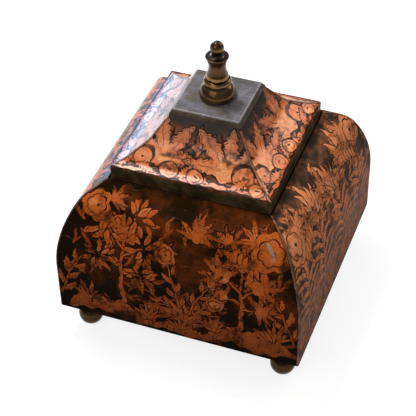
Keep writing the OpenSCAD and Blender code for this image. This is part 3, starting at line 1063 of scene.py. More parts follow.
@dataclass(frozen=True)
class Sheet:
    """One of four like sheets round a square form, mitred at both corners."""

    bend: Bend
    thickness: float
    columns: int
    rows: int
    inner_rows: int
    corner_r: float
    hem: float = 0.0

    def section(self) -> tuple[Array, Array, Array, Array]:
        """Works out the closed section of the sheet.

        Returns:
            Half-widths, heights and lengths along the sheet of its points, outer face first and
            upwards, and which of them lie on the outer face.
        """
        outer = np.linspace(0.0, self.bend.length, self.rows)
        inner = np.linspace(self.bend.length, self.hem, self.inner_rows)
        runs = [(outer, 0.0), (inner, -self.thickness)]
        if self.hem:
            runs.append((np.array([self.hem, 0.0]), -2 * self.thickness))
        out, up = np.concatenate([self.bend.trace(*run) for run in runs], axis=1)
        up[self.rows] = up[self.rows - 1]
        return out, up, np.concatenate([along for along, _ in runs]), np.arange(len(out)) < self.rows

    def build(self, name: str, side: Side, paint: Callable[[Garden], None], seed: int) -> Piece:
        """Builds one sheet with its decoration as attributes and a flat map.

        Args:
            name: The piece's name.
            side: The side that it faces.
            paint: Which of the garden's plantings it carries.
            seed: The garden's seed.

        Returns:
            The finished mesh object.
        """
        half, height, along, face = self.section()
        share = np.linspace(-1.0, 1.0, self.columns)
        across = half[:, None] * share[None, :]
        out = np.repeat(half[:, None], self.columns, axis=1)
        radius = np.where(face, self.corner_r, 0.0)[:, None]
        turn = np.clip((abs(across) - (out - radius)) / np.maximum(radius, 1e-6), 0.0, 1.0) * math.pi / 4
        round_off = (abs(across) > out - radius) & (radius > 0)
        flat_across = np.where(round_off, np.sign(across) * (out - radius + radius * np.sin(turn)), across)
        flat_out = np.where(round_off, out - radius + radius * np.cos(turn), out)
        places = np.stack([flat_across, -flat_out, np.repeat(height[:, None], self.columns, axis=1)], axis=2)
        places = quarter_turned(places.reshape(-1, 3), side.value)
        piece = new_piece(name, places, self.faces(len(half)))
        garden = Garden(across[face].ravel(), np.repeat(along[face], self.columns), seed)
        paint(garden)
        for label in ("copper", "ink", "tone", "bare"):
            values = getattr(garden, label)
            whole = np.full(len(places), Garden.PLAIN_TONE if label == "tone" else Garden.FAR, np.float32)
            whole[: len(values)] = values
            piece.data.attributes.new(label, "FLOAT", "POINT").data.foreach_set("value", whole)
        self.lay_flat(piece, along, share, face)
        smooth(piece, 40)
        return piece

    def faces(self, count: int) -> list[tuple[int, ...]]:
        """Lists the faces round the section and the two mitred ends.

        Args:
            count: How many points the section has.

        Returns:
            The faces' vertex indices.
        """
        wide = self.columns
        faces = []
        for row in range(count):
            low, high = row * wide, (row + 1) % count * wide
            faces += [(low + c, low + c + 1, high + c + 1, high + c) for c in range(wide - 1)]
        start = range(0, count * wide, wide)
        return [*faces, tuple(start), tuple(corner + wide - 1 for corner in reversed(start))]

    def lay_flat(self, piece: Piece, along: Array, share: Array, face: Array) -> None:
        """Gives a sheet a map of its own flat pattern: the outer face above, the inner one below.

        Args:
            piece: The sheet's object.
            along: The section's lengths along the sheet.
            share: The columns' places from -1 to 1.
            face: Which of the section's points lie on the outer face.
        """
        split, rim = 0.22, 0.004
        up = along / self.bend.length
        v = np.where(face, split + rim + up * (1 - split - 2 * rim), rim + up * (split - 3 * rim))
        u = rim + (share + 1) / 2 * (1 - 2 * rim)
        grid = np.stack(np.broadcast_arrays(u[None, :], v[:, None]), axis=2).reshape(-1, 2)
        mesh = piece.data
        corner = np.empty(len(mesh.loops), np.int32)
        mesh.loops.foreach_get("vertex_index", corner)
        layer = mesh.uv_layers.new(name=BAKE_MAP)
        layer.uv.foreach_set("vector", grid[corner].astype(np.float32).ravel())


# ------------ geometry node trees


class ShapeTree:
    """A geometry node tree with named inputs, run once on a carrier object and turned into a plain mesh."""

    def __init__(self, name: str, inputs: dict[str, tuple[str, object]]) -> None:
        """Starts the tree.

        Args:
            name: The tree's name.
            inputs: The short socket type and default value of each named input.
        """
        every = {"Geometry": ("Geometry", None)} | inputs | {"Material": ("Material", None)}
        made = new_group(name, "GeometryNodeTree", every, {"Geometry": "Geometry"})
        self.sketch, self.given, self.keys = made

    def close(self, shape: Value) -> None:
        """Ends the tree with realised instances and their material."""
        real = self.sketch.out("GeometryNodeRealizeInstances", {"Geometry": shape})
        dressed = {"Geometry": real, "Material": self.given["Material"]}
        self.sketch.add("NodeGroupOutput", {"Geometry": self.sketch.out("GeometryNodeSetMaterial", dressed)})

    def run(self, carrier: Piece, name: str, values: dict[str, object]) -> Piece:
        """Runs the tree on a carrier.

        Args:
            carrier: The object whose mesh goes in, which is used up.
            name: The new piece's name.
            values: What each named input gets.

        Returns:
            A plain mesh object.
        """
        modifier = carrier.modifiers.new("shape", "NODES")
        modifier.node_group = self.sketch.tree
        for label, value in values.items():
            modifier[self.keys[label]] = value
        return plain_copy(carrier, name)


def bead_tree() -> ShapeTree:
    """Builds the tree that lays a lumpy solder bead along a line of edges.

    Returns:
        A tree with inputs for the bead's width, rise, lumps and the direction across it.
    """
    sizes = {"Width": 0.002, "Rise": 0.0008, "Step": 0.0006, "Lump Height": 0.0001, "Lump Size": 0.004}
    inputs = {label: ("Float", value) for label, value in (sizes | {"Seed": 1.0}).items()}
    made = ShapeTree("solder_bead", inputs | {"Across": ("Vector", (1.0, 0.0, 0.0))})
    out, given = made.sketch.out, made.given
    line = out("GeometryNodeMeshToCurve", {"Mesh": given["Geometry"]})
    line = out("GeometryNodeResampleCurve", {"Curve": line, "Length": given["Step"]}, mode="LENGTH")
    line = out("GeometryNodeSetCurveNormal", {"Curve": line, "Normal": given["Across"]}, mode="FREE")
    ring = out("GeometryNodeCurvePrimitiveCircle", {"Resolution": 12, "Radius": 0.5})
    size = out("ShaderNodeCombineXYZ", {"X": given["Width"], "Y": given["Rise"], "Z": 1.0})
    ring = out("GeometryNodeTransform", {"Geometry": ring, "Scale": size})
    bead = out("GeometryNodeCurveToMesh", {"Curve": line, "Profile Curve": ring, "Fill Caps": True})
    fineness = made.sketch.math("DIVIDE", 1.0, given["Lump Size"])
    lumps = {"Vector": out("GeometryNodeInputPosition"), "W": given["Seed"], "Scale": fineness, "Detail": 2.0}
    lift = (out("ShaderNodeTexNoise", lumps, noise_dimensions="4D") - 0.62) * given["Lump Height"]
    move = out("ShaderNodeVectorMath", {0: out("GeometryNodeInputNormal"), "Scale": lift}, operation="SCALE")
    bead = out("GeometryNodeSetPosition", {"Geometry": bead, "Offset": move})
    made.close(out("GeometryNodeSetShadeSmooth", {"Geometry": bead}))
    return made


def copies_tree() -> ShapeTree:
    """Builds the tree that sets a turned copy of one pattern piece on every point.

    Returns:
        A tree with inputs for the pattern piece and the turn between copies.
    """
    made = ShapeTree("set_of_copies", {"Pattern": ("Object", None), "Turn": ("Float", 0.7)})
    out, given = made.sketch.out, made.given
    pattern = made.sketch.outs("GeometryNodeObjectInfo", {"Object": given["Pattern"]})["Geometry"]
    turn = out("ShaderNodeCombineXYZ", {"Z": out("GeometryNodeInputIndex") * given["Turn"]})
    points = out("GeometryNodeMeshToPoints", {"Mesh": given["Geometry"]})
    made.close(out("GeometryNodeInstanceOnPoints", {"Points": points, "Instance": pattern, "Rotation": turn}))
    return made


# ------------ finishes


def clouding_group() -> Tree:
    """Builds the group that gives soft uneven patches at two sizes.

    Returns:
        A group with the values Broad and Fine, both about one half on average.
    """
    inputs = {"Place": ("Vector", None), "Scale": ("Float", 40.0), "Fine Scale": ("Float", 300.0)}
    sketch, given, _ = new_group("clouding", "ShaderNodeTree", inputs, {"Broad": "Float", "Fine": "Float"})
    broad = sketch.noise(given["Place"], given["Scale"], 4.0, roughness=0.6, distortion=0.6)
    fine = sketch.noise(given["Place"], given["Fine Scale"], 3.0, roughness=0.6)
    sketch.add("NodeGroupOutput", {"Broad": broad, "Fine": fine})
    return sketch.tree


def scratches_group() -> Tree:
    """Builds the group that gives fine rubbed scratches and small specks.

    Returns:
        A group with the masks Scratches and Specks.
    """
    inputs = {"Place": ("Vector", None), "Scale": ("Float", 60.0), "Amount": ("Float", 0.5)}
    masks = {"Scratches": "Float", "Specks": "Float"}
    sketch, given, _ = new_group("rubbed_scratches", "ShaderNodeTree", inputs, masks)
    place, scale = given["Place"], given["Scale"]
    lines: Value | float = 0.0
    for turn in (0.4, 1.3, 2.5):
        drawn_out = {"Vector": place, "Rotation": (0.3 * turn, turn, turn), "Scale": (1, 14, 1)}
        fibres = sketch.noise(sketch.out("ShaderNodeMapping", drawn_out), scale, 2.0)
        lines = fibres.step(0.69, 0.74).most(lines)
    gate = sketch.noise(place, scale, 1.0).step(0.45, 0.62)
    cells = sketch.outs("ShaderNodeTexVoronoi", {"Vector": place, "Scale": 420.0})["Distance"]
    made = {"Scratches": lines * gate * given["Amount"], "Specks": cells.step(0.16, 0.08) * gate}
    sketch.add("NodeGroupOutput", made)
    return sketch.tree


class Finish:
    """A procedural material on the Principled shader, with the shared groups at hand."""

    groups: dict[str, Tree] = {}

    def __init__(self, name: str, **constants: float) -> None:
        """Starts the material.

        Args:
            name: The material's name.
            constants: Values set on the shader's own sockets.
        """
        if not Finish.groups:
            Finish.groups = {"clouding": clouding_group(), "scratches": scratches_group()}
        self.material = bpy.data.materials.new(name)
        self.material.use_nodes = True
        self.sketch = Sketch(self.material.node_tree)
        self.shader = self.sketch.add("ShaderNodeBsdfPrincipled")
        self.sketch.add("ShaderNodeOutputMaterial", {"Surface": Value(self.sketch, self.shader.outputs[0])})
        self.place = self.sketch.outs("ShaderNodeTexCoord")["Object"]
        self.wire(**constants)

    def wire(self, **values: Value | float) -> Material:
        """Puts values on the shader's sockets and returns the material."""
        self.sketch.fill(self.shader, {key.replace("_", " "): value for key, value in values.items()})
        return self.material

    def group(self, name: str, inputs: dict[str, float]) -> tuple[Value, ...]:
        """Adds one of the shared groups and returns its outputs."""
        values = {"Place": self.place} | inputs
        return tuple(self.sketch.outs("ShaderNodeGroup", values, node_tree=Finish.groups[name]).values())

    def clouds(self, broad_mm: float, fine_mm: float) -> tuple[Value, ...]:
        """Adds the clouding group and returns its broad and its fine patches."""
        return self.group("clouding", {"Scale": 1 / (broad_mm * MM), "Fine Scale": 1 / (fine_mm * MM)})

    def rubs(self, scale: float, amount: float) -> tuple[Value, ...]:
        """Adds the scratches group and returns its scratches and its specks."""
        return self.group("scratches", {"Scale": scale, "Amount": amount})

    def mapped(self, scale: Triple) -> Value:
        """Returns the place with its axes scaled."""
        return self.sketch.out("ShaderNodeMapping", {"Vector": self.place, "Scale": scale})

    def noise(
        self, size_mm: float, detail: float, roughness: float = 0.55, stretch: Triple | None = None,
    ) -> Value:
        """Returns noise with features about size_mm across, closer together along the axes by stretch."""
        at = self.mapped(stretch) if stretch else self.place
        return self.sketch.noise(at, 1.0 / (size_mm * MM), detail, roughness=roughness)

    def axes(self) -> tuple[Value, ...]:
        """Returns the place's x, y and z."""
        return tuple(self.sketch.outs("ShaderNodeSeparateXYZ", {0: self.place}).values())

    def relief(self, *layers: tuple[Value, float, float]) -> Value:
        """Adds a Bump node for each layer.

        Args:
            layers: The height value, the depth in millimetres and the strength of each.

        Returns:
            The normal.
        """
        before: dict[str, object] = {}
        for height, depth_mm, strength in layers:
            inputs = {"Height": height, "Distance": depth_mm * MM, "Strength": strength}
            before = {"Normal": self.sketch.out("ShaderNodeBump", inputs | before)}
        return before["Normal"]


@dataclass(frozen=True)
class PaintedLacquer:
    """Copper paint and black line work under varnish, over a clouded black-brown ground."""

    ground: Colour = rgb(0.014, 0.0070, 0.0020)
    glow: Colour = rgb(0.145, 0.032, 0.006)
    ink: Colour = rgb(0.0050, 0.0038, 0.0020)
    copper_dark: Colour = rgb(0.26, 0.050, 0.007)
    copper: Colour = rgb(0.53, 0.112, 0.019)
    copper_pale: Colour = rgb(0.76, 0.27, 0.085)
    shadow: Colour = rgb(0.001, 0.002, 0.001)
    metal_dark: Colour = rgb(0.16, 0.14, 0.12)
    metal_pale: Colour = rgb(0.42, 0.38, 0.34)
    scratch: Colour = rgb(0.45, 0.30, 0.22)
    cloud_mm: float = 30.0
    haze: float = 0.54
    coat: float = 0.06
    coat_roughness: float = 0.12
    specular: float = 0.0
    shine: float = 0.05
    roughness: float = 0.27
    shade_foot: float = 0.0
    shade_top: float = 1.0
    shade: float = 1.0
    faint_line: float = 0.25

    def make(self, name: str) -> Material:
        """Builds the material, which reads the sheets' copper, ink, tone and bare attributes.

        Args:
            name: The material's name.

        Returns:
            The material.
        """
        finish = Finish(name, Coat_Roughness=self.coat_roughness, Specular_IOR_Level=self.specular, IOR=1.45)
        attribute, mix = finish.sketch.attribute, finish.sketch.mix
        (broad, fine), (scratches, specks) = finish.clouds(self.cloud_mm, 1.6), finish.rubs(70.0, 0.7)
        ragged, tone = (fine - 0.5) * 1.3, attribute("tone")
        depth = attribute("copper") + ragged
        copper = depth.step(-0.16, 0.14)
        mist = finish.noise(7.0, 4.0, 0.65)
        soft = broad * 0.7 + mist * 0.3
        # the ground, which glows round the copper shapes and in soft patches
        bleed = depth.step(-5.0, 0.0) * soft.step(0.45, 0.62)
        patch = bleed.most(soft.step(self.haze - 0.1, self.haze + 0.14) * 0.9) * tone.step(-0.1, 0.45)
        ground = mix(patch, self.ground, self.glow)
        # the copper paint, thin in places and streaked by the brush
        grain = finish.noise(0.8, 2.0, stretch=(1.0, 1.0, 0.35))
        light = tone + (mist - 0.5) * 1.1 + (grain - 0.5) * 0.3
        paint = mix(light.step(0.0, 0.6), self.copper_dark, self.copper)
        paint = mix(light.step(0.6, 1.1), paint, self.copper_pale)
        strokes = finish.noise(1.1, 2.0, stretch=(1.0, 1.0, 0.16)).step(0.56, 0.66)
        paint = mix(strokes * light.step(0.7, 0.2, 0.25, 0.8), paint, self.ground)
        covered = copper * (1.0 - soft.step(0.50, 0.36) * 0.85)
        colour = mix(covered, ground, paint)
        # the painted shade at the foot or the top, and the dark line at each corner
        x, y, z = finish.axes()
        low = z.step(self.shade_foot * MM, self.shade_top * MM, 1.0 - self.shade, 0.0)
        colour = mix(low, colour, self.shadow)
        corner = abs(abs(x) - abs(y) + ragged * (0.4 * MM))
        colour = mix(corner.step(2.2 * MM, 1.5 * MM, 0.0, 0.7), colour, self.ink)
        # the black line work, then the wear
        line = attribute("ink") + ragged * 0.45
        ink = line.step(-0.2, 0.06) * mist.step(0.42, 0.56, self.faint_line, 1.0)
        colour = mix(ink * 0.94, colour, self.ink)
        chipped = (attribute("bare") + ragged).step(0.0, 0.25)
        colour = mix(chipped, colour, mix(fine, self.metal_dark, self.metal_pale))
        colour = mix(scratches * 0.22, colour, self.scratch)
        colour = mix(specks * 0.5, colour, self.ink)
        paint_h = copper * 0.5 + ink * 0.6
        return finish.wire(
            Base_Color=colour,
            Roughness=(fine - 0.5) * 0.14 + self.roughness + copper * 0.05,
            Metallic=covered * self.shine,
            Coat_Weight=(covered - ink).step(-0.6, 1.0, 0.12 * self.coat, self.coat),
            Normal=finish.relief((broad, 0.5, 0.35), (paint_h, 0.03, 0.6), (fine, 0.04, 0.5)),
        )


@dataclass(frozen=True)
class BlackLacquer:
    """Black-brown lacquer with orange-brown bleeding where it meets the painted sheets."""

    black: Colour = rgb(0.030, 0.021, 0.008)
    olive: Colour = rgb(0.090, 0.056, 0.022)
    bleed: Colour = rgb(0.20, 0.062, 0.020)
    scratch: Colour = rgb(0.20, 0.15, 0.11)
    bleed_top: float = 0.0
    bleed_depth: float = 0.0
    strength: float = 0.0
    roughness: float = 0.34

    def make(self, name: str) -> Material:
        """Builds the material.

        Args:
            name: The material's name.

        Returns:
            The material.
        """
        finish = Finish(name, Specular_IOR_Level=0.02, IOR=1.45)
        mix = finish.sketch.mix
        (broad, fine), (scratches, _) = finish.clouds(14, 1.3), finish.rubs(90.0, 0.8)
        colour = mix(broad.step(0.4, 0.68), self.black, self.olive)
        if self.strength:
            reach = (finish.noise(5.0, 4.0, 0.65, (1.0, 1.0, 0.45)) - 0.42) * (5.2 * self.bleed_depth * MM)
            edge = finish.axes()[2] - self.bleed_top * MM + reach + broad.step(0.5, 0.75, 0.0, 4.5 * MM)
            colour = mix(edge.step(-0.6 * MM, 0.9 * MM) * self.strength, colour, self.bleed)
        return finish.wire(
            Base_Color=mix(scratches * 0.35, colour, self.scratch),
            Roughness=(fine - 0.5) * 0.2 + self.roughness,
            Normal=finish.relief((broad, 0.4, 0.3), (fine, 0.05, 0.5)),
        )


@dataclass(frozen=True)
class SlateLacquer:
    """Worn slate-grey lacquer with fine streaks and browner folded edges; its grey is partly painted
    reflection, and its pale edge line is painted highlight as well as rubbing.
    """

    grey: Colour = rgb(0.210, 0.204, 0.236)
    dark: Colour = rgb(0.080, 0.073, 0.070)
    olive: Colour = rgb(0.100, 0.082, 0.058)
    brown: Colour = rgb(0.080, 0.056, 0.036)
    umber: Colour = rgb(0.036, 0.026, 0.017)
    pale: Colour = rgb(0.42, 0.39, 0.40)
    half_w: float = 23.4
    top: float = 173.5

    def make(self, name: str) -> Material:
        """Builds the material.

        Args:
            name: The material's name.

        Returns:
            The material.
        """
        finish = Finish(name, Coat_Roughness=0.16, Specular_IOR_Level=0.12, IOR=1.45)
        mix = finish.sketch.mix
        (broad, fine), (scratches, _) = finish.clouds(16, 1.1), finish.rubs(110.0, 1.0)
        streaks = finish.noise(1.1, 3.0, 0.6, (0.12, 1.0, 1.0))
        stain = finish.noise(9.0, 4.0, 0.65)
        x, y, z = finish.axes()
        fall = self.top * MM - z
        # the bluish slate grey is partly painted reflection of the window on dark lacquer
        colour = mix((broad + (streaks - 0.5) * 0.5).step(0.25, 0.8), self.dark, self.grey)
        colour = mix(stain.step(0.47, 0.62, 0.0, 0.75), colour, self.olive)
        lip = mix(stain.step(0.35, 0.65), self.umber, self.brown)
        colour = mix(fall.step(0.45 * MM, 1.2 * MM), colour, lip)
        # pale line along the folded top edges: painted highlight, broken up like rubbing
        inset = self.half_w * MM - abs(x).most(abs(y))
        edge = inset.step(0.75 * MM, 0.2 * MM) * fall.step(0.9 * MM, 0.3 * MM)
        colour = mix(edge * (broad + fine).step(0.65, 1.1) * 0.5, colour, self.pale)
        return finish.wire(
            Base_Color=mix(scratches * 0.4, colour, self.pale),
            Roughness=(streaks - 0.5) * 0.25 + 0.36,
            Coat_Weight=fall.step(0.7 * MM, 1.4 * MM, 0.4, 0.05),
            Normal=finish.relief((broad, 0.5, 0.35), (streaks, 0.03, 0.5)),
        )


@dataclass(frozen=True)
class AntiqueBrass:
    """Old brass, brown in its hollows and rubbed bright on its edges."""

    bright: Colour = rgb(0.255, 0.132, 0.046)
    brown: Colour = rgb(0.076, 0.037, 0.012)
    dark: Colour = rgb(0.010, 0.006, 0.003)
    metal: float = 0.9
    specular: float = 0.35
    roughness: float = 0.19
    patina: float = 0.4
    coat: float = 0.2

    def make(self, name: str) -> Material:
        """Builds the material, which reads the wear attribute of a turned piece.

        Args:
            name: The material's name.

        Returns:
            The material.
        """
        finish = Finish(name, Specular_IOR_Level=self.specular, Coat_Weight=self.coat, Coat_Roughness=0.1)
        mix = finish.sketch.mix
        broad, fine = finish.clouds(7, 0.9)
        lathe = finish.noise(0.35, 2.0, stretch=(0.08, 0.08, 1.0))
        wear = finish.sketch.attribute("wear") + (broad - 0.5) * 0.7
        colour = mix(wear.step(0.05, 0.42), self.dark, self.brown)
        colour = mix(wear.step(0.55, 1.1), colour, self.bright)
        return finish.wire(
            Base_Color=mix(fine.step(0.52, 0.72) * self.patina, colour, self.dark),
            Roughness=(0.75 - wear) * 0.22 + self.roughness,
            Metallic=wear.step(0.0, 0.4, 0.3 * self.metal, self.metal),
            Normal=finish.relief((lathe, 0.02, 0.5), (fine, 0.05, 0.5)),
        )


@dataclass(frozen=True)
class PlainSteel:
    """Plain fastener steel with a little grime."""

    bright: Colour = rgb(0.46, 0.45, 0.43)
    grime: Colour = rgb(0.13, 0.10, 0.075)

    def make(self, name: str) -> Material:
        """Builds the material.

        Args:
            name: The material's name.

        Returns:
            The material.
        """
        finish = Finish(name, Specular_IOR_Level=0.5)
        grime = finish.clouds(4, 0.6)[0].step(0.46, 0.7)
        return finish.wire(
            Base_Color=finish.sketch.mix(grime, self.bright, self.grime),
            Roughness=grime * 0.25 + 0.32,
            Metallic=1.0 - grime * 0.5,
            Normal=finish.relief((finish.noise(0.3, 2.0, stretch=(1.0, 0.1, 1.0)), 0.01, 0.4)),
        )


@dataclass(frozen=True)
class WornSeam:
    """A soldered corner bead: lacquer rubbed through to dull brown metal."""

    metal: Colour = rgb(0.32, 0.175, 0.105)
    paint: Colour = rgb(0.15, 0.058, 0.025)
    dark: Colour = rgb(0.018, 0.011, 0.007)
    coat: float = 0.0

    def make(self, name: str) -> Material:
        """Builds the material.

        Args:
            name: The material's name.

        Returns:
            The material.
        """
        finish = Finish(name, Coat_Weight=self.coat, Coat_Roughness=0.2, Specular_IOR_Level=0.1)
        broad, fine = finish.clouds(11, 1.0)
        tone = broad + (fine - 0.5) * 0.6
        colour = finish.sketch.mix(tone.step(0.3, 0.5), self.dark, self.paint)
        return finish.wire(
            Base_Color=finish.sketch.mix(tone.step(0.45, 0.7), colour, self.metal),
            Roughness=fine * 0.2 + 0.34,
            Metallic=tone.step(0.5, 0.8, 0.0, 0.25),
            Normal=finish.relief((fine, 0.08, 0.6)),
        )


# ------------ turned brass


def arc_radius(reach: float, rise: float) -> float:
    """Returns the radius of the arc that rises so much over so long a reach."""
    return (reach**2 + rise**2) / (2 * rise)


def rubbed(piece: Piece, outline: Sequence[Pair], reach_mm: float) -> None:
    """Marks how far each ring of a turned piece stands out from the rings near it.

    Args:
        piece: The turned piece.
        outline: Its outline, on which the wear is worked out.
        reach_mm: How far along the outline to look.
    """
    ring = np.array(outline[1:-1])
    gap = np.concatenate([[0.0], np.cumsum(np.hypot(*np.diff(ring, axis=0).T))])
    share = np.exp(-(((gap[None, :] - gap[:, None]) / reach_mm) ** 2))
    wear = ring[:, 0] - np.sum(share * ring[:, 0], axis=1) / np.sum(share, axis=1)
    wear = np.clip(0.5 + wear * 2.2, 0.0, 1.0)
    steps = (len(piece.data.vertices) - 2) // len(ring)
    values = np.concatenate([np.repeat(wear, steps), [0.5, 0.5]]).astype(np.float32)
    piece.data.attributes.new("wear", "FLOAT", "POINT").data.foreach_set("value", values)


@dataclass(frozen=True)
class Finial:
    """The turned finial: domed base, bead, waisted spindle, cup-shaped flange and ball, in millimetres."""

    base_r: float = 12.7
    edge_r: float = 1.9
    dome_h: float = 9.8
    dome_top_r: float = 8.5
    groove_h: float = 0.6
    groove_r: float = 8.25
    bead_r: float = 9.6
    bead_h: float = 4.3
    spindle_groove_r: float = 7.0
    lip_r: float = 7.75
    lip_h: float = 2.2
    waist_r: float = 5.95
    waist_h: float = 9.7
    spindle_h: float = 12.3
    flange_r: float = 8.07
    flange_h: float = 6.0
    flange_edge_h: float = 4.6
    neck_r: float = 3.6
    ball_r: float = 4.9
    ball_gap: float = 0.5

    def outline(self) -> list[Pair]:
        """Traces the finial from its foot up.

        Returns:
            Radius and height pairs above the cap.
        """
        rise = self.dome_h - self.edge_r
        dome_r = arc_radius(rise, self.base_r - self.dome_top_r)
        points = [(0.0, 0.0), (self.base_r - self.edge_r - 1.5, 0.0)]
        points += arc((self.base_r - self.edge_r, self.edge_r), self.edge_r, -90, 0, 8)
        dome_end = math.degrees(math.asin(rise / dome_r))
        points += arc((self.base_r - dome_r, self.edge_r), dome_r, 0, dome_end, 14)[1:]
        bead_z = self.dome_h + self.groove_h
        points += [(self.groove_r + 0.05, self.dome_h + 0.12), (self.groove_r, bead_z - 0.1)]
        half = self.bead_h / 2
        points += arc((self.bead_r - half, bead_z + half), half, -80, 80, 12)
        spindle_z = bead_z + self.bead_h + self.groove_h
        groove = self.spindle_groove_r
        points += [(groove, spindle_z - self.groove_h + 0.1), (groove, spindle_z - 0.1)]
        points += arc((self.lip_r - 0.5, spindle_z + 0.5), 0.5, -90, 0, 4)
        points.append((self.lip_r, spindle_z + self.lip_h - 0.6))
        cove_r = arc_radius(self.waist_h - self.lip_h, self.lip_r - self.waist_r)
        for index in range(1, 17):
            z = self.lip_h + (self.spindle_h - self.lip_h) * index / 16
            radius = self.waist_r + cove_r - math.sqrt(cove_r**2 - (z - self.waist_h) ** 2)
            points.append((radius, spindle_z + z))
        flange_z = spindle_z + self.spindle_h
        start_r = points[-1][0]
        points += [(start_r + 0.35, flange_z + 0.15), (start_r + 0.5, flange_z + 0.8)]
        for index in range(1, 9):
            share = index / 8
            flare = start_r + 0.5 + (self.flange_r - 0.2 - start_r - 0.5) * share**1.35
            points.append((flare, flange_z + 0.8 + (self.flange_edge_h - 1.3) * share))
        points += arc((self.flange_r - 0.5, flange_z + self.flange_edge_h), 0.5, -30, 80, 6)
        neck_z = flange_z + self.flange_h
        points.append((self.neck_r + 2.4, flange_z + self.flange_edge_h + 0.2))
        points.append((self.neck_r + 0.9, neck_z - 0.9))
        points += [(self.neck_r + 0.2, neck_z - 0.3), (self.neck_r, neck_z)]
        ball_z = neck_z + self.ball_gap + self.ball_r
        low = -math.degrees(math.acos(self.neck_r / self.ball_r)) + 3
        points += arc((0.0, ball_z), self.ball_r, low, 86, 20)
        return [*points, (0.0, ball_z + self.ball_r)]


@dataclass(frozen=True)
class BallFoot:
    """A turned ball foot with a trumpet-shaped neck, in millimetres above the floor."""

    ball_r: float = 9.1
    flat: float = 0.4
    neck_r: float = 5.2
    neck_z: float = 18.3
    flare_r: float = 7.6
    flange_r: float = 8.0
    flange_z: float = 27.4
    top_z: float = 28.95

    def outline(self) -> list[Pair]:
        """Traces the foot from the floor up.

        Returns:
            Radius and height pairs.
        """
        centre_z = self.ball_r - self.flat
        low = -math.degrees(math.asin(centre_z / self.ball_r))
        high = math.degrees(math.acos((self.neck_r - 0.15) / self.ball_r))
        points = [(0.0, 0.0), (0.8, 0.0), *arc((0.0, centre_z), self.ball_r, low, high, 30)]
        points.append((self.neck_r - 0.25, self.neck_z - 0.55))
        rise = self.flange_z - self.neck_z
        cove_r = arc_radius(rise, self.flare_r - self.neck_r)
        for index in range(9):
            z = rise * index / 8
            points.append((self.neck_r + cove_r - math.sqrt(cove_r**2 - z**2), self.neck_z + z))
        points += [(self.flange_r, self.flange_z + 0.1), (self.flange_r, self.top_z - 0.1)]
        return [*points, (self.flange_r - 0.2, self.top_z), (0.0, self.top_z)]


# ------------ the box


@dataclass(frozen=True)
class Beads:
    """The solder beads along the four mitres of a form made of bent sheets, in millimetres."""

    bend: Bend
    corner_r: float
    width: float
    rise: float
    sink: float
    top: float
    points: int

    def lay(self, finish: Material, body: Body, name: str, node: str) -> None:
        """Lays one bead along each corner.

        Args:
            finish: Their material.
            body: The body that they ride on.
            name: The pieces' names, with braces for the corner's word.
            node: The names of the CAD nodes that they stand for, with the same braces.
        """
        tree = bead_tree()
        out, up = self.bend.trace(np.linspace(0.0, self.top, self.points), -self.sink)
        spread = self.corner_r * (1 - DIAGONAL)
        line = np.stack([out - spread, spread - out, up], axis=1)
        last = self.points - 1
        ends = np.stack([np.arange(last), np.arange(1, self.points)], axis=1)
        for corner in Corner:
            title = name.format(corner.word)
            carrier = new_piece(f"{title}_line", quarter_turned(line, corner.value), [])
            carrier.data.edges.add(last)
            carrier.data.edges.foreach_set("vertices", ends.ravel())
            across = quarter_turned(np.array([[DIAGONAL, DIAGONAL, 0.0]]), corner.value)[0]
            bead = tree.run(carrier, title, {
                "Width": self.width * MM, "Rise": self.rise * MM, "Step": 0.7 * MM,
                "Lump Height": 0.16 * MM, "Lump Size": 5.0 * MM, "Across": tuple(across),
                "Seed": 1.7 * corner.value + 0.3, "Material": finish,
            })
            finish_piece(bead, body, finish, node.format(corner.word))


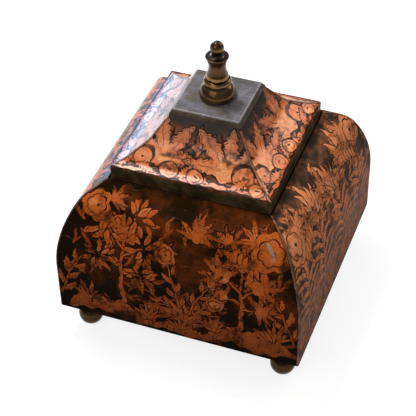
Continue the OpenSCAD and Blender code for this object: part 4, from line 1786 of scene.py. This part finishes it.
@dataclass(frozen=True)
class Box:
    """The body: four bowed walls, their corner beads, the mouth, the tray, the feet and their screws."""

    foot_z: float = 26.0
    half_w: float = 90.0
    sheet_t: float = 0.8
    hem_h: float = 3.0
    runs: tuple[Pair, ...] = ((0.0, 90.0), (39.5, 90.0), (89.35, 118.0), (108.9, 150.0), (115.2, 150.0))
    corner_r: float = 1.6
    bead_w: float = 1.9
    bead_rise: float = 1.0
    shade_h: float = 66.0
    foot_inset: float = 15.9
    washer_z: float = 29.8
    washer_r: float = 5.0
    washer_t: float = 0.8
    washer_edge: float = 0.15
    shank_r: float = 1.9
    shank_h: float = 4.0
    head_r: float = 3.8
    head_h: float = 2.4
    slot_w: float = 1.0
    slot_depth: float = 1.1

    def build(self) -> None:
        """Makes and dresses every piece of the body."""
        self.walls()
        self.beads()
        self.mouth_and_tray()
        self.feet()
        self.fasteners()

    @property
    def bend(self) -> Bend:
        """The walls' outer profile."""
        return Bend(self.half_w, self.foot_z, self.runs)

    def walls(self) -> None:
        """Builds the four painted walls."""
        sizes = {"thickness": self.sheet_t, "corner_r": self.corner_r, "hem": self.hem_h}
        sheet = Sheet(self.bend, columns=340, rows=235, inner_rows=26, **sizes)
        foot = {"shade_foot": self.foot_z, "shade_top": self.foot_z + self.shade_h, "shade": 0.62}
        glossy = PaintedLacquer(coat=0.35, specular=0.1, **foot).make("glossy_painted_lacquer")
        worn = PaintedLacquer(**foot).make("worn_painted_lacquer")
        # the right wall's copy: rubbed dull with no coat, and its lighter ground, glow and copper are painted
        # sheen
        dull = PaintedLacquer(
            ground=rgb(0.040, 0.027, 0.017), glow=rgb(0.26, 0.100, 0.045), copper=rgb(0.76, 0.255, 0.095),
            copper_dark=rgb(0.42, 0.130, 0.048), copper_pale=rgb(0.93, 0.48, 0.29),
            coat=0.0, specular=0.01, shine=0.0, roughness=0.42, haze=0.52, cloud_mm=15.0, **foot,
        ).make("dull_painted_lacquer")
        for side, paint, seed, lacquer in (
            (Side.FRONT, Garden.front, 3, worn), (Side.RIGHT, Garden.side, 5, dull),
            (Side.BACK, Garden.back, 8, worn), (Side.LEFT, Garden.side, 11, glossy),
        ):
            wall = sheet.build(f"{side.word}_wall", side, paint, seed)
            finish_piece(wall, Body.BOX, lacquer, f"{side.word}_panel")

    def beads(self) -> None:
        """Lays the four corner beads down the mitres."""
        sizes = {"sink": 0.32, "top": self.bend.length, "points": 120}
        beads = Beads(self.bend, self.corner_r, self.bead_w, self.bead_rise, **sizes)
        beads.lay(WornSeam().make("worn_corner_bead"), Body.BOX, "{}_bead", "{}_seam")

    def mouth_and_tray(self) -> None:
        """Rounds off and dresses the ledge, the collar and the base tray."""
        brown = BlackLacquer(olive=rgb(0.13, 0.075, 0.042), black=rgb(0.050, 0.028, 0.016), roughness=0.3)
        ledge, black = brown.make("brown_ledge_lacquer"), BlackLacquer().make("black_lacquer")
        for node, name, finish in (
            ("mouth_ledge", "ledge", ledge), ("mouth_collar", "collar", black), ("base_tray", "tray", black),
        ):
            finish_piece(softened(node, name, edge_mm=0.2), Body.BOX, finish, node)

    def feet(self) -> None:
        """Turns the four ball feet."""
        # a much darker copy of the finial's brass: painted shade for the feet under the box
        brass = AntiqueBrass(
            bright=rgb(0.080, 0.044, 0.016), brown=rgb(0.032, 0.016, 0.006),
            metal=0.35, specular=0.06, coat=0.0,
        ).make("foot_brass")
        outline = BallFoot().outline()
        for corner in Corner:
            foot = turned(f"{corner.word}_ball_foot", outline, self.foot_centre(corner), steps=72)
            rubbed(foot, outline, reach_mm=6.0)
            finish_piece(foot, Body.BOX, brass, f"{corner.word}_foot")

    def foot_centre(self, corner: Corner) -> Pair:
        """Returns a foot's centre in millimetres."""
        reach = self.half_w - self.foot_inset
        x, y, _ = quarter_turned(np.array([[reach, -reach, 0.0]]), corner.value)[0]
        return float(x), float(y)

    def fasteners(self) -> None:
        """Sets a slotted screw and a washer on every foot."""
        steel = PlainSteel().make("plain_steel")
        tree = copies_tree()
        rise, crown = self.head_h, arc_radius(self.head_r, self.head_h)
        low = math.degrees(math.asin((crown - rise) / crown))
        shank = [(0.0, -self.shank_h), (self.shank_r, -self.shank_h), (self.shank_r, 0.0)]
        dome = arc((0.0, rise - crown), crown, low, 88, 12)
        head = turned("screw_pattern", [*shank, *dome, (0.0, rise)], (0.0, 0.0), steps=40)
        block = np.array([[x, y, z] for x in (-0.5, 0.5) for y in (-0.5, 0.5) for z in (-0.5, 0.5)])
        size = np.array([2.4 * self.head_r, self.slot_w, 2 * self.slot_depth])
        block = block * size + np.array([0.0, 0.0, rise])
        faces = [(0, 1, 3, 2), (4, 6, 7, 5), (0, 4, 5, 1), (2, 3, 7, 6), (0, 2, 6, 4), (1, 5, 7, 3)]
        slot = new_piece("slot_pattern", block, faces)
        cut = head.modifiers.new("slot", "BOOLEAN")
        cut.object, cut.operation, cut.solver = slot, "DIFFERENCE", "EXACT"
        head = plain_copy(head, "screw_pattern")
        bpy.data.objects.remove(slot)
        reach, top, edge = self.washer_r, self.washer_t, self.washer_edge
        rim = [(reach - edge, 0.0), (reach, edge), (reach, top - edge), (reach - edge, top)]
        disc = turned("washer_pattern", [(0.0, 0.0), *rim, (0.0, top)], (0.0, 0.0), steps=40)
        for pattern, name, lift, turn, node in (
            (disc, "foot_washer_set", self.washer_z, 0.0, "foot_washers"),
            (head, "foot_screw_set", self.washer_z + self.washer_t, 1.15, "foot_screws"),
        ):
            places = np.array([[*self.foot_centre(corner), lift] for corner in Corner])
            carrier = new_piece(f"{name}_points", places, [])
            whole = tree.run(carrier, name, {"Pattern": pattern, "Turn": turn, "Material": steel})
            bpy.data.objects.remove(pattern)
            finish_piece(whole, Body.BOX, steel, node)


# ------------ the lid


@dataclass(frozen=True)
class Lid:
    """The lift-off lid: four coved slopes, their hip beads, rim, cap, finial and its fastening."""

    slopes_z: float = 140.715
    half_w: float = 57.3015
    sheet_t: float = 0.8
    runs: tuple[Pair, ...] = ((0.0, 172.0), (9.774, 144.0), (20.774, 144.0), (27.057, 124.0), (48.45, 124.0))
    corner_r: float = 0.8
    bead_w: float = 1.5
    bead_rise: float = 0.85
    bead_top: float = 43.0
    cap_z: float = 173.525

    def build(self) -> None:
        """Makes and dresses every piece of the lid."""
        self.slopes()
        self.hips()
        self.rim_and_cap()
        self.finial()

    @property
    def bend(self) -> Bend:
        """The slopes' outer profile."""
        return Bend(self.half_w, self.slopes_z, self.runs)

    def slopes(self) -> None:
        """Builds the four painted slopes."""
        sheet = Sheet(self.bend, self.sheet_t, columns=330, rows=190, inner_rows=16, corner_r=self.corner_r)
        shade = {
            "shade_foot": self.cap_z - 2.0, "shade_top": self.cap_z - 14.0, "shade": 0.65,
            "cloud_mm": 15.0, "haze": 0.47, "faint_line": 0.75,
        }
        satin = shade | {
            "glow": rgb(0.25, 0.062, 0.012), "copper": rgb(0.63, 0.155, 0.033),
            "copper_pale": rgb(0.86, 0.36, 0.14),
            "coat_roughness": 0.2, "specular": 0.08, "shine": 0.14, "roughness": 0.26,
        }
        lacquer = PaintedLacquer(coat=1.0, **satin).make("lid_painted_lacquer")
        dull = PaintedLacquer(coat=0.6, **satin).make("lid_dull_lacquer")
        # the left slope's copy: glossier, and its darker glow and copper are painted shade, so the reflected
        # window light reads bluer
        glossy = PaintedLacquer(
            glow=rgb(0.11, 0.033, 0.014), copper=rgb(0.40, 0.115, 0.030), copper_pale=rgb(0.56, 0.24, 0.11),
            coat=1.0, specular=0.6, shine=0.0, **shade,
        ).make("lid_glossy_lacquer")
        for side, seed, finish in (
            (Side.FRONT, 4, lacquer), (Side.RIGHT, 9, dull),
            (Side.BACK, 14, lacquer), (Side.LEFT, 19, glossy),
        ):
            slope = sheet.build(f"lid_{side.word}_slope", side, Garden.slope, seed)
            finish_piece(slope, Body.LID, finish, f"lid_{side.word}_panel")

    def hips(self) -> None:
        """Lays the four hip beads up the mitres as far as the cap's folded edge."""
        seam = WornSeam(metal=rgb(0.52, 0.23, 0.115), paint=rgb(0.24, 0.075, 0.026), coat=0.3)
        sizes = {"sink": 0.28, "top": self.bead_top, "points": 90}
        beads = Beads(self.bend, self.corner_r, self.bead_w, self.bead_rise, **sizes)
        beads.lay(seam.make("worn_hip_bead"), Body.LID, "lid_{}_hip_bead", "lid_{}_hip")

    def rim_and_cap(self) -> None:
        """Rounds off and dresses the upright rim and the flat cap."""
        rim = BlackLacquer(bleed_top=self.slopes_z, bleed_depth=2.6, strength=0.85).make("rim_lacquer")
        finish_piece(softened("lid_rim", "rim", edge_mm=0.25), Body.LID, rim, "lid_rim")
        slate = SlateLacquer(top=self.cap_z).make("slate_lacquer")
        cap = softened("lid_cap", "cap", edge_mm=0.6, segments=5)
        finish_piece(cap, Body.LID, slate, "lid_cap")

    def finial(self) -> None:
        """Turns the finial and dresses the stud, washer and nut that hold it."""
        brass = AntiqueBrass().make("finial_brass")
        raised = [(radius, height + self.cap_z) for radius, height in Finial().outline()]
        piece = turned("turned_finial", raised, (0.0, 0.0), steps=112)
        rubbed(piece, raised, reach_mm=1.6)
        finish_piece(piece, Body.LID, brass, "finial")
        steel = bpy.data.materials["plain_steel"]
        for node, name, edge in (
            ("finial_stud", "stud", 0.25), ("finial_washer", "stud_washer", 0.12),
            ("finial_nut", "stud_nut", 0.25),
        ):
            finish_piece(softened(node, name, edge, segments=2), Body.LID, steel, node)


# ------------ studio


@dataclass(frozen=True)
class Lamp:
    """A soft lamp that faces the box, in metres, watts and degrees of spin about its own axis."""

    name: str
    place: Triple
    size: Pair
    power: float
    colour: Triple = (1.0, 1.0, 1.0)
    spin: float = 0.0
    mirrored: bool = True

    def hang(self, target: Vector) -> None:
        """Hangs the lamp and turns it towards a place.

        Args:
            target: The place.
        """
        data = bpy.data.lights.new(self.name, "AREA")
        data.shape, data.energy, data.color = "RECTANGLE", self.power, self.colour
        data.size, data.size_y = self.size
        lamp = shown(self.name, data)
        lamp.location = self.place
        lamp.visible_glossy = self.mirrored
        lamp.rotation_mode = "QUATERNION"
        faced = (target - lamp.location).to_track_quat("-Z", "Y")
        lamp.rotation_quaternion = faced @ Quaternion((0.0, 0.0, 1.0), math.radians(self.spin))


@dataclass(frozen=True)
class Studio:
    """The pale floor, the soft lamps, the surrounding light and the camera."""

    camera_place: Triple = (0.2612, -0.6994, 0.7395)
    azimuth: float = 21.11
    elevation: float = 41.87
    roll: float = -1.2265
    lens_mm: float = 118.78
    floor_half: float = 4.0
    floor_glow: float = 0.80
    world_light: float = 0.27
    target: Triple = (0.0, 0.0, 0.11)
    lamps: tuple[Lamp, ...] = (
        Lamp("window_above", (-0.53, 0.36, 1.56), (0.26, 0.85), 10.0, (1.0, 0.95, 0.955), 128.0),
        Lamp("window_key", (-0.55, 0.34, 1.52), (0.12, 0.12), 12.0, (1.0, 0.97, 0.95), 0.0, False),
        Lamp("window_right", (0.84, 1.38, 1.22), (1.0, 1.0), 8.0, (1.0, 0.96, 0.95)),
        Lamp("window_left", (-1.42, 1.44, 0.52), (1.0, 1.0), 17.0, (0.50, 0.68, 1.0)),
        Lamp("soft_front", (-0.5, -1.5, 1.6), (1.3, 1.3), 9.0, (1.0, 0.98, 0.95)),
    )

    def build(self) -> None:
        """Sets up everything round the box."""
        self.floor()
        self.world()
        for lamp in self.lamps:
            lamp.hang(Vector(self.target))
        self.camera()
        bpy.context.scene.view_settings.view_transform = "Standard"

    def floor(self) -> None:
        """Lays the floor, which looks white where nothing shades it."""
        half = self.floor_half / MM
        places = np.array([(-half, -half, 0), (half, -half, 0), (half, half, 0), (-half, half, 0)])
        floor = new_piece("floor", places, [(0, 1, 2, 3)])
        material = bpy.data.materials.new("pale_floor")
        material.use_nodes = True
        sketch = Sketch(material.node_tree)
        path = sketch.outs("ShaderNodeLightPath")
        seen = path["Is Camera Ray"].most(path["Is Glossy Ray"]).most(path["Is Transmission Ray"])
        matt = sketch.out("ShaderNodeBsdfDiffuse", {"Color": rgb(0.42, 0.42, 0.42)})
        glow = sketch.out("ShaderNodeEmission", {"Strength": seen * self.floor_glow})
        both = sketch.out("ShaderNodeAddShader", {0: matt, 1: glow})
        sketch.add("ShaderNodeOutputMaterial", {"Surface": both})
        floor.data.materials.append(material)

    def world(self) -> None:
        """Surrounds the box with even light, and shows white behind it."""
        world = bpy.data.worlds.new("studio")
        world.use_nodes = True
        bpy.context.scene.world = world
        sketch = Sketch(world.node_tree)
        path = sketch.outs("ShaderNodeLightPath")
        seen = path["Is Camera Ray"].most(path["Is Transmission Ray"])
        strength = seen * (1.0 - self.world_light) + self.world_light
        sky = sketch.out("ShaderNodeBackground", {"Color": rgb(1.0, 1.0, 1.0), "Strength": strength})
        sketch.add("ShaderNodeOutputWorld", {"Surface": sky})

    def camera(self) -> None:
        """Sets the camera at the photograph's angle."""
        data = bpy.data.cameras.new("camera")
        data.lens = self.lens_mm
        data.clip_start, data.clip_end = 0.01, 50.0
        camera = shown("camera", data)
        turn, tilt = math.radians(self.azimuth), math.radians(self.elevation)
        back = Vector((math.sin(turn) * math.cos(tilt), -math.cos(turn) * math.cos(tilt), math.sin(tilt)))
        level = (-back).to_track_quat("-Z", "Y").to_matrix()
        rolled = level @ Matrix.Rotation(math.radians(self.roll), 3, "Z")
        camera.matrix_world = Matrix.Translation(self.camera_place) @ rolled.to_4x4()
        bpy.context.scene.camera = camera


def main() -> None:
    """Builds the box, the lid and the studio."""
    logging.basicConfig(level=logging.INFO, format="%(name)s: %(message)s")
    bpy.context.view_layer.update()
    Box().build()
    Lid().build()
    Studio().build()


if __name__ == "__main__":
    main()
